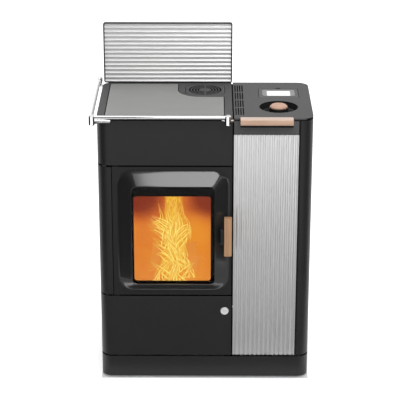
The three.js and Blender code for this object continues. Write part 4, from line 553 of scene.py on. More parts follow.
def moulded(name, colour, rough, sheen=0.4):
    """Moulded plastic or matt enamel with a fine spark-eroded grain."""
    plastic = Finish(name, specular=sheen)
    grain = plastic.noise(1600, 3)
    cloud = plastic.noise(30, 2)
    lighter = [1.25 * part for part in colour]
    plastic.paint(base=plastic.blend(cloud, colour, lighter), rough=rough + 0.1 * grain)
    plastic.relief(grain, FINE_DEPTH)
    return plastic.material


def screen_glass():
    """Blank lit screen under smooth glass, greyer at its rim."""
    low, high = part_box("display_screen")
    centre = (low + high) / 2
    glass = Finish("lit_screen", coat_roughness=0.03, emission_strength=0.45)
    across = abs(glass.axis(X) - centre[X]) / ((high[X] - low[X]) / 2)
    along = abs(glass.axis(Y) - centre[Y]) / ((high[Y] - low[Y]) / 2)
    rim = across.math("MAXIMUM", along).between(0.9, 0.985)
    dust = glass.noise(80, 3)
    pale = glass.blend(rim, (0.86, 0.86, 0.86), (0.5, 0.5, 0.5))
    glass.paint(base=pale, glow=pale, rough=0.12 + 0.05 * dust, coat=0.8 - 0.1 * dust)
    return glass.material


FINISHES = {
    "black_steel": powder_coat("black_powder_coat", BLACK, 0.42),
    "grey_steel": powder_coat("grey_powder_coat", GREY, 0.5, 0.2),
    "hob_steel": blasted_steel(),
    "chrome": chrome(),
    "polished_steel": plain_steel(),
    "cast_iron": cast_iron(),
    "vermiculite": vermiculite(),
    "clear_glass": plain_glass(),
    "gasket": sealing_rope(),
    "galvanised": galvanised(),
    "black_plastic": moulded("black_plastic", (0.010, 0.010, 0.010), 0.4),
    "screen": screen_glass(),
}
OWN_FINISHES = {
    **dict.fromkeys(TIERS, powder_coat("seamed_powder_coat", BLACK, 0.42, 0.3, SEAMS)),
    "glass_retainer": moulded("retainer_enamel", DEEP_BLACK, 0.75, 0.05),
    "fire_door": door_coat(),
    "pellet_door": strip_coat(),
    "control_deck": pierced_coat("deck_coat", "control_deck", DECK_RIM),
    "outlet_cover": pierced_coat("cover_coat", "outlet_cover", COVER_RIM),
    "display_panel": display_coat(),
    # Painted shade: the partition wall is painted deep black, so the gaps before it read as shade.
    "partition_wall": moulded("inner_shade_black", DEEP_BLACK, 0.75, 0.05),
    "hopper": powder_coat("hopper_coat", (0.016, 0.016, 0.016), 0.6, 0.1),
    "splash_panel": aluminium("aluminium_across", "splash_panel", X, (0.82, 0.5), (0.92, 0.36), 0.55),
    "fluted_panel": aluminium("aluminium_upright", "fluted_panel", Z, (0.72, 0.36), (1.0, 0.3), 0.8),
    "door_handle": wood("wood_upright", Z, (0.60, 0.345, 0.185), (0.46, 0.245, 0.125)),
    "bar_handle": wood("wood_across", X, (0.72, 0.47, 0.34), (0.58, 0.36, 0.25), "bar_handle"),
    "knob_cap": wood("wood_knob", X, (0.65, 0.41, 0.30), (0.51, 0.30, 0.205)),
    "burn_pot": firelit_iron(),
    "latch_button": turned_steel(),
}


def finish_of(node):
    """The finish that a CAD node's surface has."""
    return OWN_FINISHES.get(node) or FINISHES[slot_of[node]]


# Pieces

MERGE_REACH = 0.002 * MM
FLAT_ANGLE = math.radians(0.4)
EDGE_ANGLE = math.radians(32)
EDGE = 0.6 * MM
EDGES = {
    "fire_door": 0.8 * MM,
    "door_glass": 0.5 * MM,
    "glass_retainer": 0.4 * MM,
    "hob_plate": 0.5 * MM,
    "door_handle": 0.5 * MM,
    "bar_handle": 2.2 * MM,
    "outlet_cover": 0.25 * MM,
    "control_deck": 0.4 * MM,
    "display_panel": 0.25 * MM,
    "display_screen": 0.15 * MM,
}


def new_object(name, mesh, material):
    """An object of a mesh in one finish."""
    obj = bpy.data.objects.new(name, mesh)
    bpy.context.scene.collection.objects.link(obj)
    mesh.materials.clear()
    mesh.materials.append(material)
    return obj


def place(obj, node):
    """The piece rides with the body of a CAD node and stands for it."""
    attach(obj, body_of[node])
    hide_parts(node)


def write_shaded(work, mesh, sharp):
    """Writes the faces to the mesh, smooth but for edges that turn by so many degrees or more."""
    for face in work.faces:
        face.smooth = True
    for edge in work.edges:
        edge.smooth = edge.calc_face_angle(0) < math.radians(sharp)
    work.to_mesh(mesh)
    work.free()


def dress(node, width, sharp=35):
    """A merged copy of a CAD node with softened edges, smooth where its facets stand for a curve."""
    mesh = nodes[node].data.copy()
    work = bmesh.new()
    work.from_mesh(mesh)
    bmesh.ops.remove_doubles(work, verts=work.verts, dist=MERGE_REACH)
    bmesh.ops.dissolve_limit(work, angle_limit=FLAT_ANGLE, verts=work.verts, edges=work.edges)
    write_shaded(work, mesh, sharp)
    obj = new_object(node + "_softened", mesh, finish_of(node))
    bevel = obj.modifiers.new("softened_edges", "BEVEL")
    bevel.width = width
    bevel.segments = 2
    bevel.limit_method = "ANGLE"
    bevel.angle_limit = EDGE_ANGLE
    shade = obj.modifiers.new("flat_faces", "WEIGHTED_NORMAL")
    shade.keep_sharp = True
    place(obj, node)


def smooth_all(mesh, sharp=40):
    """Smooth shading with the faces turned outward, kept crisp along the sharp edges."""
    work = bmesh.new()
    work.from_mesh(mesh)
    bmesh.ops.remove_doubles(work, verts=work.verts, dist=MERGE_REACH / 2)
    bmesh.ops.recalc_face_normals(work, faces=work.faces)
    write_shaded(work, mesh, sharp)


def mesh_from(name, points, faces):
    """A mesh of these points and faces, smooth shaded."""
    mesh = bpy.data.meshes.new(name)
    mesh.from_pydata(points, [], faces)
    smooth_all(mesh)
    return mesh


def spun(name, profile, centre, axis, sides):
    """A closed turned form from (radius, height) pairs about an axis through a centre."""
    across, beyond = [(Y, Z), (Z, X), (X, Y)][axis]
    points = []
    faces = []
    for radius, height in profile:
        for step in range(sides):
            turn = 2 * math.pi * step / sides
            point = [0.0, 0.0, 0.0]
            point[axis] = centre[axis] + height
            point[across] = centre[across] + radius * math.cos(turn)
            point[beyond] = centre[beyond] + radius * math.sin(turn)
            points.append(point)
    for row in range(len(profile) - 1):
        for step in range(sides):
            after = (step + 1) % sides
            low, high = row * sides, (row + 1) * sides
            faces.append((low + step, low + after, high + after, high + step))
    faces.append(tuple(reversed(range(sides))))
    faces.append(tuple(range(len(points) - sides, len(points))))
    return mesh_from(name, points, faces)


def arc_profile(corners, steps=6):
    """A profile with some corners rounded: each corner is (radius out, height, rounding)."""
    points = []
    for index, (out, height, rounding) in enumerate(corners):
        if not rounding or index in (0, len(corners) - 1):
            points.append((out, height))
            continue
        here = Vector((out, height))
        before = (Vector(corners[index - 1][:2]) - here).normalized()
        after = (Vector(corners[index + 1][:2]) - here).normalized()
        half = before.angle(after) / 2
        reach = rounding / math.tan(half)
        start, end = here + before * reach, here + after * reach
        for step in range(steps + 1):
            share = step / steps
            along = start.lerp(here, share).lerp(here.lerp(end, share), share)
            points.append(tuple(along))
    return points


def turn_piece(name, node, corners, axis, sides, steps=6):
    """A turned form about the middle of a CAD node, which stands for it."""
    low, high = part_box(node)
    mesh = spun(name, arc_profile(corners, steps), (low + high) / 2, axis, sides)
    place(new_object(name, mesh, finish_of(node)), node)


# Fluted sheets, made by a geometry tree

FLUTE_PITCH = 17.5 * MM
FLUTE = {"Steps": 14, "Ridge": 2.4 * MM, "Depth": 5 * MM, "Sheet": 2.5 * MM}


def with_inputs(name, **kinds):
    """A new geometry tree with named inputs, and those inputs as values."""
    group = bpy.data.node_groups.new(name, "GeometryNodeTree")
    for key, kind in kinds.items():
        group.interface.new_socket(key, in_out="INPUT", socket_type="NodeSocket" + kind)
    group.interface.new_socket("Geometry", in_out="OUTPUT", socket_type="NodeSocketGeometry")
    tree = Tree(group)
    sockets = tree.add("NodeGroupInput", {}, {}).outputs
    return group, tree, {socket.name: Term(tree, socket) for socket in sockets if socket.name}


def flute_tree():
    """Draws the outline of a sheet with so many hollow flutes and sweeps it along its length."""
    sizes = dict.fromkeys(("Pitch", "Ridge", "Depth", "Sheet", "Length"), "Float")
    counts = {"Flutes": "Int", "Steps": "Int"}
    group, tree, given = with_inputs("fluted_sheet", **counts, **sizes, Finish="Material")
    front = given["Flutes"] * given["Steps"]
    line = tree.add("GeometryNodeCurvePrimitiveLine", {}, {"Start": (0, 0, 0), "End": (1, 0, 0)})
    outline = tree.add("GeometryNodeResampleCurve", {}, {"Curve": line.outputs[0], "Count": front + 3})
    index = Term(tree, tree.add("GeometryNodeInputIndex", {}, {}).outputs[0])
    share = (index / given["Steps"]).math("FRACT")
    ridge_share = given["Ridge"] / given["Pitch"] / 2
    inside = ((share - ridge_share) / (1 - 2 * ridge_share)).kept()
    dip = given["Depth"] * (inside * math.pi).math("SINE")
    across = index * given["Pitch"] / given["Steps"]
    out = dip - given["Depth"] - given["Sheet"]
    on_front = 1 - index.math("GREATER_THAN", front + 0.5)
    first_back = 1 - index.math("GREATER_THAN", front + 1.5)
    width = given["Flutes"] * given["Pitch"]
    flat_x = on_front * across + (1 - on_front) * first_back * width
    flat_y = on_front * out
    point = tree.add("ShaderNodeCombineXYZ", {}, {0: flat_x, 1: flat_y, 2: 0.0})
    shaped = tree.add(
        "GeometryNodeSetPosition", {}, {"Geometry": outline.outputs[0], "Position": point.outputs[0]}
    )
    closed = tree.add("GeometryNodeSetSplineCyclic", {}, {"Geometry": shaped.outputs[0], "Cyclic": True})
    end = tree.add("ShaderNodeCombineXYZ", {}, {0: 0.0, 1: 0.0, 2: given["Length"]})
    path = tree.add("GeometryNodeCurvePrimitiveLine", {}, {"Start": (0, 0, 0), "End": end.outputs[0]})
    along = {"Curve": path.outputs[0], "Profile Curve": closed.outputs[0], "Fill Caps": True}
    swept = tree.add("GeometryNodeCurveToMesh", {}, along)
    finish_tree(tree, swept.outputs[0], given["Finish"])
    return group


def finish_tree(tree, geometry, material):
    """Ends a geometry tree."""
    real = tree.add("GeometryNodeRealizeInstances", {}, {0: geometry})
    painted = tree.add("GeometryNodeSetMaterial", {}, {"Geometry": real.outputs[0], "Material": material})
    tree.add("NodeGroupOutput", {}, {0: painted.outputs[0]})


def grown_mesh(group, name, values, base=None):
    """The plain mesh that a geometry tree makes from these inputs."""
    mesh = base or bpy.data.meshes.new(name)
    obj = bpy.data.objects.new(name, mesh)
    bpy.context.scene.collection.objects.link(obj)
    modifier = obj.modifiers.new(name, "NODES")
    modifier.node_group = group
    for item in group.interface.items_tree:
        if item.in_out == "INPUT" and item.name in values:
            modifier[item.identifier] = values[item.name]
    shown = obj.evaluated_get(bpy.context.evaluated_depsgraph_get())
    result = bpy.data.meshes.new_from_object(shown)
    obj.modifiers.remove(modifier)
    bpy.data.objects.remove(obj)
    result.name = name
    return result


def make_fluted_sheets():
    """The sheets of the splashback and of the pellet door, each with as many flutes as fit."""
    group = flute_tree()
    for node, upright in (("splash_panel", False), ("fluted_panel", True)):
        low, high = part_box(node)
        run, length = high[X] - low[X], high[Z] - low[Z]
        if not upright:
            run, length = length, run
        flutes = round(run / FLUTE_PITCH)
        values = {**FLUTE, "Flutes": flutes, "Pitch": run / flutes, "Length": length}
        values["Finish"] = finish_of(node)
        mesh = grown_mesh(group, node + "_flutes", values)
        turn = Matrix.Identity(4) if upright else Matrix.Rotation(math.pi / 2, 4, "Y")
        mesh.transform(turn)
        least = Vector([min(corner.co[i] for corner in mesh.vertices) for i in range(3)])
        mesh.transform(Matrix.Translation(low - least))
        smooth_all(mesh, 30)
        place(new_object(node + "_flutes", mesh, finish_of(node)), node)


# Rail

RAIL_RODS = {"rail_front": X, "rail_side": Y}
RAIL_POSTS = ("rail_post_right", "rail_post_left", "rail_post_rear")
ROD_EASE = 0.6 * MM
POST_EDGE = 0.35 * MM


def make_rail():
    """Round rods with softened ends and turned posts."""
    for node, axis in RAIL_RODS.items():
        low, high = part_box(node)
        radius = (high[Z] - low[Z]) / 2
        half = (high[axis] - low[axis]) / 2
        face = radius - 2 * ROD_EASE
        corners = [(face, -half, 0), (radius, -half, ROD_EASE), (radius, half, ROD_EASE), (face, half, 0)]
        turn_piece(node + "_rod", node, corners, axis, 48)
    for node in RAIL_POSTS:
        dress(node, POST_EDGE, 44)


# Knob and latch

KNOB_PIP = 4 * MM
KNOB_RIM = 4.5 * MM
KNOB_TOP_RADIUS = 28 * MM
LATCH_PIP = 1 * MM
LATCH_BACK_TAPER = 2 * MM
LATCH_FRONT_BAND = 6 * MM
LATCH_GROOVE_HALF = 0.4 * MM
LATCH_GROOVE_DEPTH = 0.5 * MM


def make_knob():
    """The turned wooden cap: a short rim and a top that tapers in."""
    low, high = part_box("knob_cap")
    radius = (high[X] - low[X]) / 2
    top = (high[Z] - low[Z]) / 2
    base = -top
    corners = [
        (KNOB_PIP, base, 0),
        (radius, base, 0.8 * MM),
        (radius, base + KNOB_RIM, 1.2 * MM),
        (KNOB_TOP_RADIUS, top, 1.6 * MM),
        (KNOB_PIP, top, 0),
    ]
    turn_piece("knob_wood", "knob_cap", corners, Z, 96)


def make_latch():
    """The round button: a plain band, then a fine groove round its knurled middle."""
    low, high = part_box("latch_button")
    radius = (high[X] - low[X]) / 2
    back = (high[Y] - low[Y]) / 2
    front = -back
    corners = [
        (LATCH_PIP, back, 0),
        (radius - LATCH_BACK_TAPER, back, 0),
        (radius, front + LATCH_FRONT_BAND, 0.5 * MM),
        (radius, front, 1.0 * MM),
        (LATCH_KNURL_RADIUS + LATCH_GROOVE_HALF, front, 0.2 * MM),
        (LATCH_KNURL_RADIUS, front + LATCH_GROOVE_DEPTH, 0.2 * MM),
        (LATCH_KNURL_RADIUS - LATCH_GROOVE_HALF, front, 0.2 * MM),
        (LATCH_PIP, front, 0),
    ]
    turn_piece("latch_disc", "latch_button", corners, Y, 72, 4)


# Screws of the back panel

SCREW_STEP = 241.5 * MM
SCREWS_ACROSS = 3
SCREWS_UP = 4
HEAD_RADIUS = 4.2 * MM
HEAD_SUNK = 0.2 * MM
HEAD_EDGE = 1.1 * MM
HEAD_TOP = 1.8 * MM
SOCKET_FLOOR = 0.7 * MM
SOCKET_RADIUS = 1.5 * MM
SOCKET_PIP = 0.4 * MM
SOCKET_LIP = 0.2 * MM


def screw_tree():
    """Sets a screw head at even steps along a rectangle that stands upright."""
    kinds = {"Head": "Geometry", "Screws": "Int", "Width": "Float", "Height": "Float", "Finish": "Material"}
    group, tree, given = with_inputs("screw_row", **kinds)
    size = {"Width": given["Width"], "Height": given["Height"]}
    border = tree.add("GeometryNodeCurvePrimitiveQuadrilateral", {}, size).outputs[0]
    turned = {"Geometry": border, "Rotation": (math.pi / 2, 0, 0)}
    upright = tree.add("GeometryNodeTransform", {}, turned).outputs[0]
    spread = {"Curve": upright, "Count": given["Screws"]}
    places = tree.add("GeometryNodeResampleCurve", {}, spread).outputs[0]
    heads = tree.add("GeometryNodeInstanceOnPoints", {}, {"Points": places, "Instance": given["Head"]})
    finish_tree(tree, heads.outputs[0], given["Finish"])
    return group


def make_back_screws():
    """Pan heads with a round recess, at even steps across the back panel and up it."""
    low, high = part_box("back_panel")
    centre = (low + high) / 2
    corners = [
        (SOCKET_PIP, -HEAD_SUNK, 0),
        (HEAD_RADIUS, -HEAD_SUNK, 0),
        (HEAD_RADIUS, HEAD_EDGE, 0.7 * MM),
        (SOCKET_RADIUS + SOCKET_LIP, HEAD_TOP, 0.3 * MM),
        (SOCKET_RADIUS, SOCKET_FLOOR, 0.1 * MM),
        (SOCKET_PIP, SOCKET_FLOOR, 0),
    ]
    head = spun("screw_head", arc_profile(corners, 3), (0, 0, 0), Y, 24)
    values = {"Width": SCREWS_ACROSS * SCREW_STEP, "Height": SCREWS_UP * SCREW_STEP}
    values.update(Screws=2 * (SCREWS_ACROSS + SCREWS_UP), Finish=finish_of("back_panel"))
    mesh = grown_mesh(screw_tree(), "back_screws", values, head)
    mesh.transform(Matrix.Translation((centre[X], high[Y], centre[Z])))
    smooth_all(mesh, 35)
    screws = new_object("back_screws", mesh, finish_of("back_panel"))
    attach(screws, body_of["back_panel"])


# Felt behind the panels

FELT_FROM = 16 * MM
FELT_LENGTH = 30 * MM
FELT_INSET = 9 * MM
FELT_HALF_HEIGHT = 16 * MM
FELT_HALF = 1.5 * MM
FELT_TAPER = 2 * MM
HALF_SEAM = 1.5 * MM


def make_seam_felt():
    """A strip of black felt behind the level seam at the rear left corner, a dark strip standing for shade
    so that no light shows through the seam.
    """
    low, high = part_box("lower_side_panel")
    seam = high[Z] + HALF_SEAM
    left, back = low[X] + FELT_FROM, high[Y] - FELT_INSET
    tip, flank = FELT_HALF_HEIGHT, FELT_HALF_HEIGHT - FELT_TAPER
    near, far = back - FELT_HALF, back + FELT_HALF
    section = [(back, -tip), (near, -flank), (near, flank), (back, tip), (far, flank), (far, -flank)]
    points = [(x, y, seam + z) for x in (left, left + FELT_LENGTH) for y, z in section]
    sides = len(section)
    faces = [(i, (i + 1) % sides, (i + 1) % sides + sides, i + sides) for i in range(sides)]
    faces += [tuple(reversed(range(sides))), tuple(range(sides, 2 * sides))]
    felt = Finish("black_felt", specular=0.05)
    fibre = felt.noise(1400, 3)
    felt.paint(base=felt.blend(fibre, (0.008, 0.008, 0.008), (0.02, 0.02, 0.02)), rough=0.9 + 0.08 * fibre)
    felt.relief(fibre, FIBRE_DEPTH)
    strip = new_object("seam_felt", mesh_from("seam_felt", points, faces), felt.material)
    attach(strip, body_of["lower_side_panel"])


# Fire


def flame_shader(name):
    """A glowing skin without colour of its own, with the chart that its sheet carries."""
    flame = Finish(name, base=(0, 0, 0, 1), rough=1.0, specular=0.0, emission_strength=1.0)
    chart = flame.add("ShaderNodeUVMap", {"uv_map": "sheet"}, {}).outputs[0]
    return flame, flame.axis(X, chart), flame.axis(Y, chart)


def flame_glow():
    """Soft body of the fire: orange clouds with yellow fibres, clear towards its sides."""
    flame, across, up = flame_shader("flame_glow")
    sway = flame.noise(1, 2, 0.5, flame.stretched((14, 20, 8)))
    lick = flame.noise(1, 5, 0.62, flame.stretched((46, 60, 15)), bend=1.9)
    side = abs(across - 0.5 + (sway - 0.5) * 0.3) * 2
    body = (1 - side.between(0.45, 0.98)) * up.between(0.0, 0.05) * (1 - up.between(0.8, 1.0))
    strand = 1 - (abs(lick - 0.5) * 9).between(0.0, 1.0)
    heat = (strand * 0.75 + sway * 0.35) * body
    glow = flame.ramp(
        heat,
        (0.0, (0.78, 0.28, 0.018)),
        (0.35, (0.83, 0.37, 0.028)),
        (0.7, (0.90, 0.50, 0.045)),
        (1.0, (0.96, 0.64, 0.09)),
    )
    flame.paint(glow=glow, alpha=heat.between(0.12, 0.8) * 0.6)
    return flame.material


def flame_tongue():
    """A tongue of flame: yellow along its edges, clear orange between them."""
    flame, across, up = flame_shader("flame_tongue")
    flicker = flame.noise(1, 4, 0.6, flame.stretched((70, 70, 26)), bend=1.4)
    edge = (abs(across - 0.5) * 2 + (flicker - 0.5) * 0.7).between(0.3, 0.85)
    heat = (edge * 0.75 + flicker * 0.45).kept()
    glow = flame.ramp(
        heat,
        (0.0, (0.76, 0.26, 0.018)),
        (0.45, (0.86, 0.40, 0.03)),
        (0.75, (0.97, 0.62, 0.07)),
        (1.0, (1.0, 0.80, 0.22)),
    )
    gap = flame.noise(1, 3, 0.6, flame.stretched((34, 40, 16), shift=(5, 2, 1))).between(0.36, 0.5)
    flame.paint(glow=glow, alpha=(0.3 + 0.7 * edge * (0.35 + 0.65 * gap)) * up.between(0.0, 0.03))
    return flame.material


FIRE_FOOT = 1.5 * MM
FIRE_RISE = 350 * MM
FIRE_TOP_SHARE = 1.24
FIRE_STEPS = 44
FIRE_COLUMNS = 6
# Half the fire's width in millimetres at shares of its height.
FIRE_WIDTHS = (
    (0, 76), (0.14, 82), (0.25, 56), (0.36, 46), (0.5, 60), (0.64, 52), (0.76, 40), (0.9, 40), (1.25, 34),
)
GLOW_DEPTHS = (-60 * MM, -95 * MM, -135 * MM)
GLOW_TOP_SHARE = 1.22
GLOW_SWAY = 9 * MM
TONGUES = 54
TONGUE_SWING = (5 * MM, 20 * MM)
TONGUE_BREADTH = (12 * MM, 32 * MM)
TONGUE_TIP = 0.5 * MM
TONGUE_SPREAD = 1.05
TONGUE_BEAT = (8, 20)
TONGUE_PHASE = (0, 6.3)
TONGUE_WAVE = 6 * MM
# Each kind of tongue: its start and rise in shares of the height, its depth, its drift and its root.
LOW_TONGUE = ((0.0, 0.02), (0.13, 0.36), (-222 * MM, -180 * MM), (0.6, 0.4), 0.3)
HIGH_TONGUE = ((0.0, 0.6), (0.16, 0.44), (-185 * MM, -115 * MM), (0.35, 0.75), 0.0)
CURL_ROOT = 14 * MM
CURL_BREADTH = 30 * MM
CURL_TIP = 1.2 * MM
CURL_FRONT = -140 * MM
CURL_SPACING = 5 * MM
CURL_HOOK = 150 * MM
CURL_HOOK_START = 0.62
# Each curl: its side, its start and rise in shares of the height, its reach and its hook.
CURLS = (
    (-1, 0.40, 0.22, 88 * MM, 0.5),
    (-1, 0.46, 0.26, 82 * MM, -0.4),
    (-1, 0.30, 0.20, 74 * MM, -0.7),
    (-1, 0.56, 0.18, 96 * MM, 0.9),
    (-1, 0.50, 0.16, 92 * MM, -1.0),
    (-1, 0.60, 0.16, 84 * MM, 1.2),
    (-1, 0.64, 0.14, 74 * MM, -0.8),
    (1, 0.52, 0.20, 84 * MM, 2.8),
    (1, 0.46, 0.24, 76 * MM, 1.8),
    (1, 0.56, 0.18, 66 * MM, 1.2),
    (1, 0.40, 0.20, 54 * MM, -0.5),
    (-1, 0.24, 0.16, 66 * MM, 0.7),
    (-1, 0.34, 0.14, 70 * MM, -0.6),
    (1, 0.04, 0.22, 72 * MM, -0.8),
    (-1, 0.05, 0.22, 80 * MM, -0.6),
)


def fire_half(up):
    """Half the width of the fire at a share of its height."""
    for (low, first), (high, second) in zip(FIRE_WIDTHS, FIRE_WIDTHS[1:]):
        if up <= high:
            share = (up - low) / (high - low)
            return (first + (second - first) * (3 - 2 * share) * share * share) * MM
    return FIRE_WIDTHS[-1][1] * MM


def fire_base():
    """The middle of the fire from side to side, and the height of its foot."""
    low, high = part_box("burn_pot")
    return (low[X] + high[X]) / 2, low[Z] + FIRE_FOOT


def ribbon(name, line, widths, material):
    """A ribbon of flame along a line of points, as wide at each as given."""
    points, faces, charts = [], [], []
    for index, (here, width) in enumerate(zip(line, widths)):
        before, after = line[max(index - 1, 0)], line[min(index + 1, len(line) - 1)]
        run = (after - before).normalized()
        side = run.cross(Vector((0, 1, 0))).normalized()
        for column in range(FIRE_COLUMNS + 1):
            across = column / FIRE_COLUMNS - 0.5
            bulge = Vector((0, -0.3 * width * (0.25 - across * across), 0))
            points.append(here + side * across * width + bulge)
            charts.append((column / FIRE_COLUMNS, index / (len(line) - 1)))
    for row in range(len(line) - 1):
        for column in range(FIRE_COLUMNS):
            start = row * (FIRE_COLUMNS + 1) + column
            beyond = start + FIRE_COLUMNS + 1
            faces.append((start, start + 1, beyond + 1, beyond))
    mesh = bpy.data.meshes.new(name)
    mesh.from_pydata(points, [], faces)
    layer = mesh.uv_layers.new(name="sheet")
    for loop in mesh.loops:
        layer.data[loop.index].uv = charts[loop.vertex_index]
    mesh.shade_smooth()
    obj = new_object(name, mesh, material)
    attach(obj, body_of["burn_pot"])


def make_glow_sheets():
    """Wide sheets of soft glow, one behind the other."""
    middle, foot = fire_base()
    glow = flame_glow()
    for index, depth in enumerate(GLOW_DEPTHS):
        line, widths = [], []
        for step in range(FIRE_STEPS + 1):
            up = GLOW_TOP_SHARE * step / FIRE_STEPS
            sway = GLOW_SWAY * math.sin(up * 7 + index * 2.1)
            line.append(Vector((middle + sway, depth, foot + FIRE_RISE * up)))
            widths.append(2.0 * fire_half(up) * (1 + 0.25 * math.sin(9 * up + 2 * index)))
        ribbon(f"fire_glow_{index + 1}", line, widths, glow)


def make_tongues(material):
    """Tongues that rise in a column and sway. Every third is a short one at the fire's foot."""
    middle, foot = fire_base()
    chance = random.Random(11)
    for index in range(TONGUES):
        starts, reaches, depths, drift, root = HIGH_TONGUE if index % 3 else LOW_TONGUE
        first, last = chance.uniform(-TONGUE_SPREAD, TONGUE_SPREAD), chance.uniform(-1, 1)
        last = drift[0] * first + drift[1] * last
        start, reach = chance.uniform(*starts), chance.uniform(*reaches)
        swing = chance.uniform(*TONGUE_SWING)
        beat, phase = chance.uniform(*TONGUE_BEAT), chance.uniform(*TONGUE_PHASE)
        breadth = chance.uniform(*TONGUE_BREADTH)
        depth = chance.uniform(*depths)
        line, widths = [], []
        for step in range(FIRE_STEPS + 1):
            share = step / FIRE_STEPS
            up = min(start + reach * share, FIRE_TOP_SHARE)
            across = first + (last - first) * share
            x = middle + across * fire_half(up) + swing * math.sin(beat * up + phase) * share
            y = depth + TONGUE_WAVE * math.sin(4 * share + phase)
            line.append(Vector((x, y, foot + FIRE_RISE * up)))
            swell = math.sin(math.pi * (root + (1 - root) * share) ** 0.7) ** 0.8
            widths.append(breadth * swell * (1.08 - share) + TONGUE_TIP)
        ribbon(f"fire_tongue_{index + 1:02d}", line, widths, material)


def make_curls(material):
    """Tongues that leave the column at its sides and curl."""
    middle, foot = fire_base()
    for index, (side, start, rise, reach, hook) in enumerate(CURLS):
        line, widths = [], []
        for step in range(FIRE_STEPS + 1):
            share = step / FIRE_STEPS
            curl = max(share - CURL_HOOK_START, 0) ** 1.5 * CURL_HOOK * hook
            x = middle + side * (CURL_ROOT + share**1.3 * reach - 0.35 * max(curl, 0))
            z = foot + FIRE_RISE * (start + rise * share) - max(curl, 0)
            line.append(Vector((x, CURL_FRONT - CURL_SPACING * index, z)))
            swell = math.sin(math.pi * share**0.9) ** 0.7
            widths.append(CURL_BREADTH * swell * (1.15 - share) + CURL_TIP)
        ribbon(f"fire_curl_{index + 1}", line, widths, material)


def make_fire():
    """Sheets of glow, and in front of them tongues that rise in a column and curl out at its sides."""
    make_glow_sheets()
    tongue = flame_tongue()
    make_tongues(tongue)
    make_curls(tongue)


# Room and light


def seen_directly(tree):
    """1 for what the camera sees, straight or by way of metal and glass, and 0 for soft light."""
    path = tree.add("ShaderNodeLightPath", {}, {})
    names = ("Is Camera Ray", "Is Glossy Ray", "Is Transmission Ray")
    seen = [Term(tree, path.outputs[name]) for name in names]
    return seen[0].math("MAXIMUM", seen[1]).math("MAXIMUM", seen[2])


FLOOR_SIZE = 30
UNDER_STOVE_SHADE_EDGE = 3 * MM
NEAR_STOVE_SHADE_FADE = 0.12
CARD_SIDE = 1.15
CARD_RUN = (-2.7, -0.3)
CARD_GAP = 0.01
SIDE_CARD_RUN = (-1.4, -0.12)
SIDE_CARD_RISE = (0.02, 2.2)
LOW_CARD_LIFT = 0.015
BACK_CARD_AT = -9
BACK_CARD_SIDE = 7
BACK_CARD_RISE = (-1, 12)
BLACK_CARD, DARK_CARD = 0.01, 0.05
GREY_CARD = (0.32, 0.92)


def make_floor():
    """A pale floor with painted shade under the stove and close to it, and plain white away from it."""
    finish = Finish("pale_floor", rough=0.9, specular=0.1, emission_strength=1.0)
    low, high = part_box("plinth")
    out = [
        (abs(finish.axis(i) - (low[i] + high[i]) / 2) - (high[i] - low[i]) / 2).math("MAXIMUM", 0.0)
        for i in (X, Y)
    ]
    away = (out[0] * out[0] + out[1] * out[1]) ** 0.5
    # Painted shade: the floor's glow is almost gone under the stove and grows over a short way out from it.
    clear = 0.5 * away.between(0.0, UNDER_STOVE_SHADE_EDGE) + 0.38 * away.between(0.0, NEAR_STOVE_SHADE_FADE)
    share = 0.08 + seen_directly(finish) * (0.03 + clear)
    finish.paint(base=(0.86, 0.86, 0.86, 1.0), glow=finish.blend(share, (0, 0, 0), (1, 1, 1)))
    work = bmesh.new()
    bmesh.ops.create_grid(work, x_segments=8, y_segments=8, size=FLOOR_SIZE)
    mesh = bpy.data.meshes.new("floor")
    work.to_mesh(mesh)
    work.free()
    new_object("floor", mesh, finish.material)


def make_world():
    """White all round, and softer as a light than as a background."""
    world = bpy.data.worlds.new("studio")
    world.use_nodes = True
    bpy.context.scene.world = world
    tree = Tree(world.node_tree)
    world.node_tree.nodes.clear()
    strength = 0.36 + 0.64 * seen_directly(tree)
    back = tree.add("ShaderNodeBackground", {}, {"Color": (1, 1, 1, 1), "Strength": strength})
    tree.add("ShaderNodeOutputWorld", {}, {"Surface": back.outputs[0]})


def card(name, corners, near, far):
    """A studio card that shows only in reflections, with its tone running from far to near."""
    cloth = Finish(name, base=(0, 0, 0, 1), specular=0.0, rough=1.0, emission_strength=1.0)
    share = cloth.axis(Y).between(*CARD_RUN, "LINEAR")
    cloth.paint(glow=cloth.blend(share, (far, far, far), (near, near, near)))
    board = new_object(name, mesh_from(name, corners, [(0, 1, 2, 3)]), cloth.material)
    board.visible_camera = board.visible_diffuse = board.visible_shadow = False
    board.visible_transmission = False


def make_cards():
    """Black cards at both sides, a grey one before the stove and a dark one behind the camera."""
    far, near = SIDE_CARD_RUN
    foot, top = SIDE_CARD_RISE
    for name, x in (("left_card", -CARD_SIDE), ("right_card", CARD_SIDE)):
        corners = [(x, far, foot), (x, near, foot), (x, near, top), (x, far, top)]
        card(name, corners, BLACK_CARD, BLACK_CARD)
    far, near = CARD_RUN
    side, lift = CARD_SIDE - CARD_GAP, LOW_CARD_LIFT
    corners = [(-side, far, lift), (side, far, lift), (side, near, lift), (-side, near, lift)]
    card("low_card", corners, *GREY_CARD)
    side, back = BACK_CARD_SIDE, BACK_CARD_AT
    foot, top = BACK_CARD_RISE
    corners = [(-side, back, foot), (side, back, foot), (side, back, top), (-side, back, top)]
    card("back_card", corners, DARK_CARD, DARK_CARD)


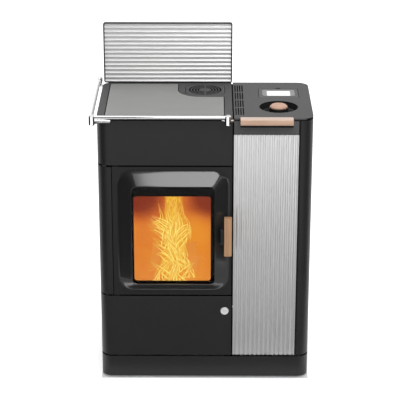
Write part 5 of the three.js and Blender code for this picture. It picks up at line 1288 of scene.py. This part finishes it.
def soft_light(name, place_at, target, width, height, power):
    """A rectangular soft box that faces a target."""
    lamp = bpy.data.lights.new(name, "AREA")
    lamp.shape = "RECTANGLE"
    lamp.size = width
    lamp.size_y = height
    lamp.energy = power
    obj = bpy.data.objects.new(name, lamp)
    obj.location = place_at
    obj.rotation_euler = (Vector(target) - Vector(place_at)).to_track_quat("-Z", "Y").to_euler()
    bpy.context.scene.collection.objects.link(obj)


# Each soft box: its place, what it faces, its width and height in metres, and its power in watts.
SOFT_BOXES = {
    "front_top_box": ((0.8, -2.6, 3.3), (0, 0, 0.7), 2.42, 1.6, 52),
    "top_box": ((-0.2, 0.4, 3.6), (0, 0, 1.0), 2.6, 2.0, 34),
    "right_box": ((3.2, -1.2, 1.9), (0.2, 0, 0.7), 1.2, 2.0, 14),
}
CAMERA_PLACE = (0.0328, -6.133, 3.048)
CAMERA_PITCH = 21.06
CAMERA_TURN = 0.37
CAMERA_LENS = 146.3
CAMERA_SENSOR = 36


def make_lights():
    """Soft boxes above, before and at the right of the stove."""
    for name, values in SOFT_BOXES.items():
        soft_light(name, *values)


def make_camera():
    """The photograph's view: a long lens that looks down on the front."""
    camera = bpy.data.cameras.new("camera")
    camera.lens = CAMERA_LENS
    camera.sensor_width = CAMERA_SENSOR
    obj = bpy.data.objects.new("camera", camera)
    obj.location = CAMERA_PLACE
    obj.rotation_euler = Euler((math.radians(90 - CAMERA_PITCH), 0, math.radians(CAMERA_TURN)))
    bpy.context.scene.collection.objects.link(obj)
    bpy.context.scene.camera = obj


OWN_PIECES = {"splash_panel", "fluted_panel", "knob_cap", "latch_button", *RAIL_RODS, *RAIL_POSTS}


def make_all():
    """Every piece of the stove, and the studio round it."""
    for node in sorted(nodes):
        if node not in OWN_PIECES:
            dress(node, EDGES.get(node, EDGE))
    make_fluted_sheets()
    make_rail()
    make_knob()
    make_latch()
    make_back_screws()
    make_seam_felt()
    make_fire()
    make_floor()
    make_world()
    make_cards()
    make_lights()
    make_camera()


make_all()
bpy.context.scene.view_settings.view_transform = "Standard"
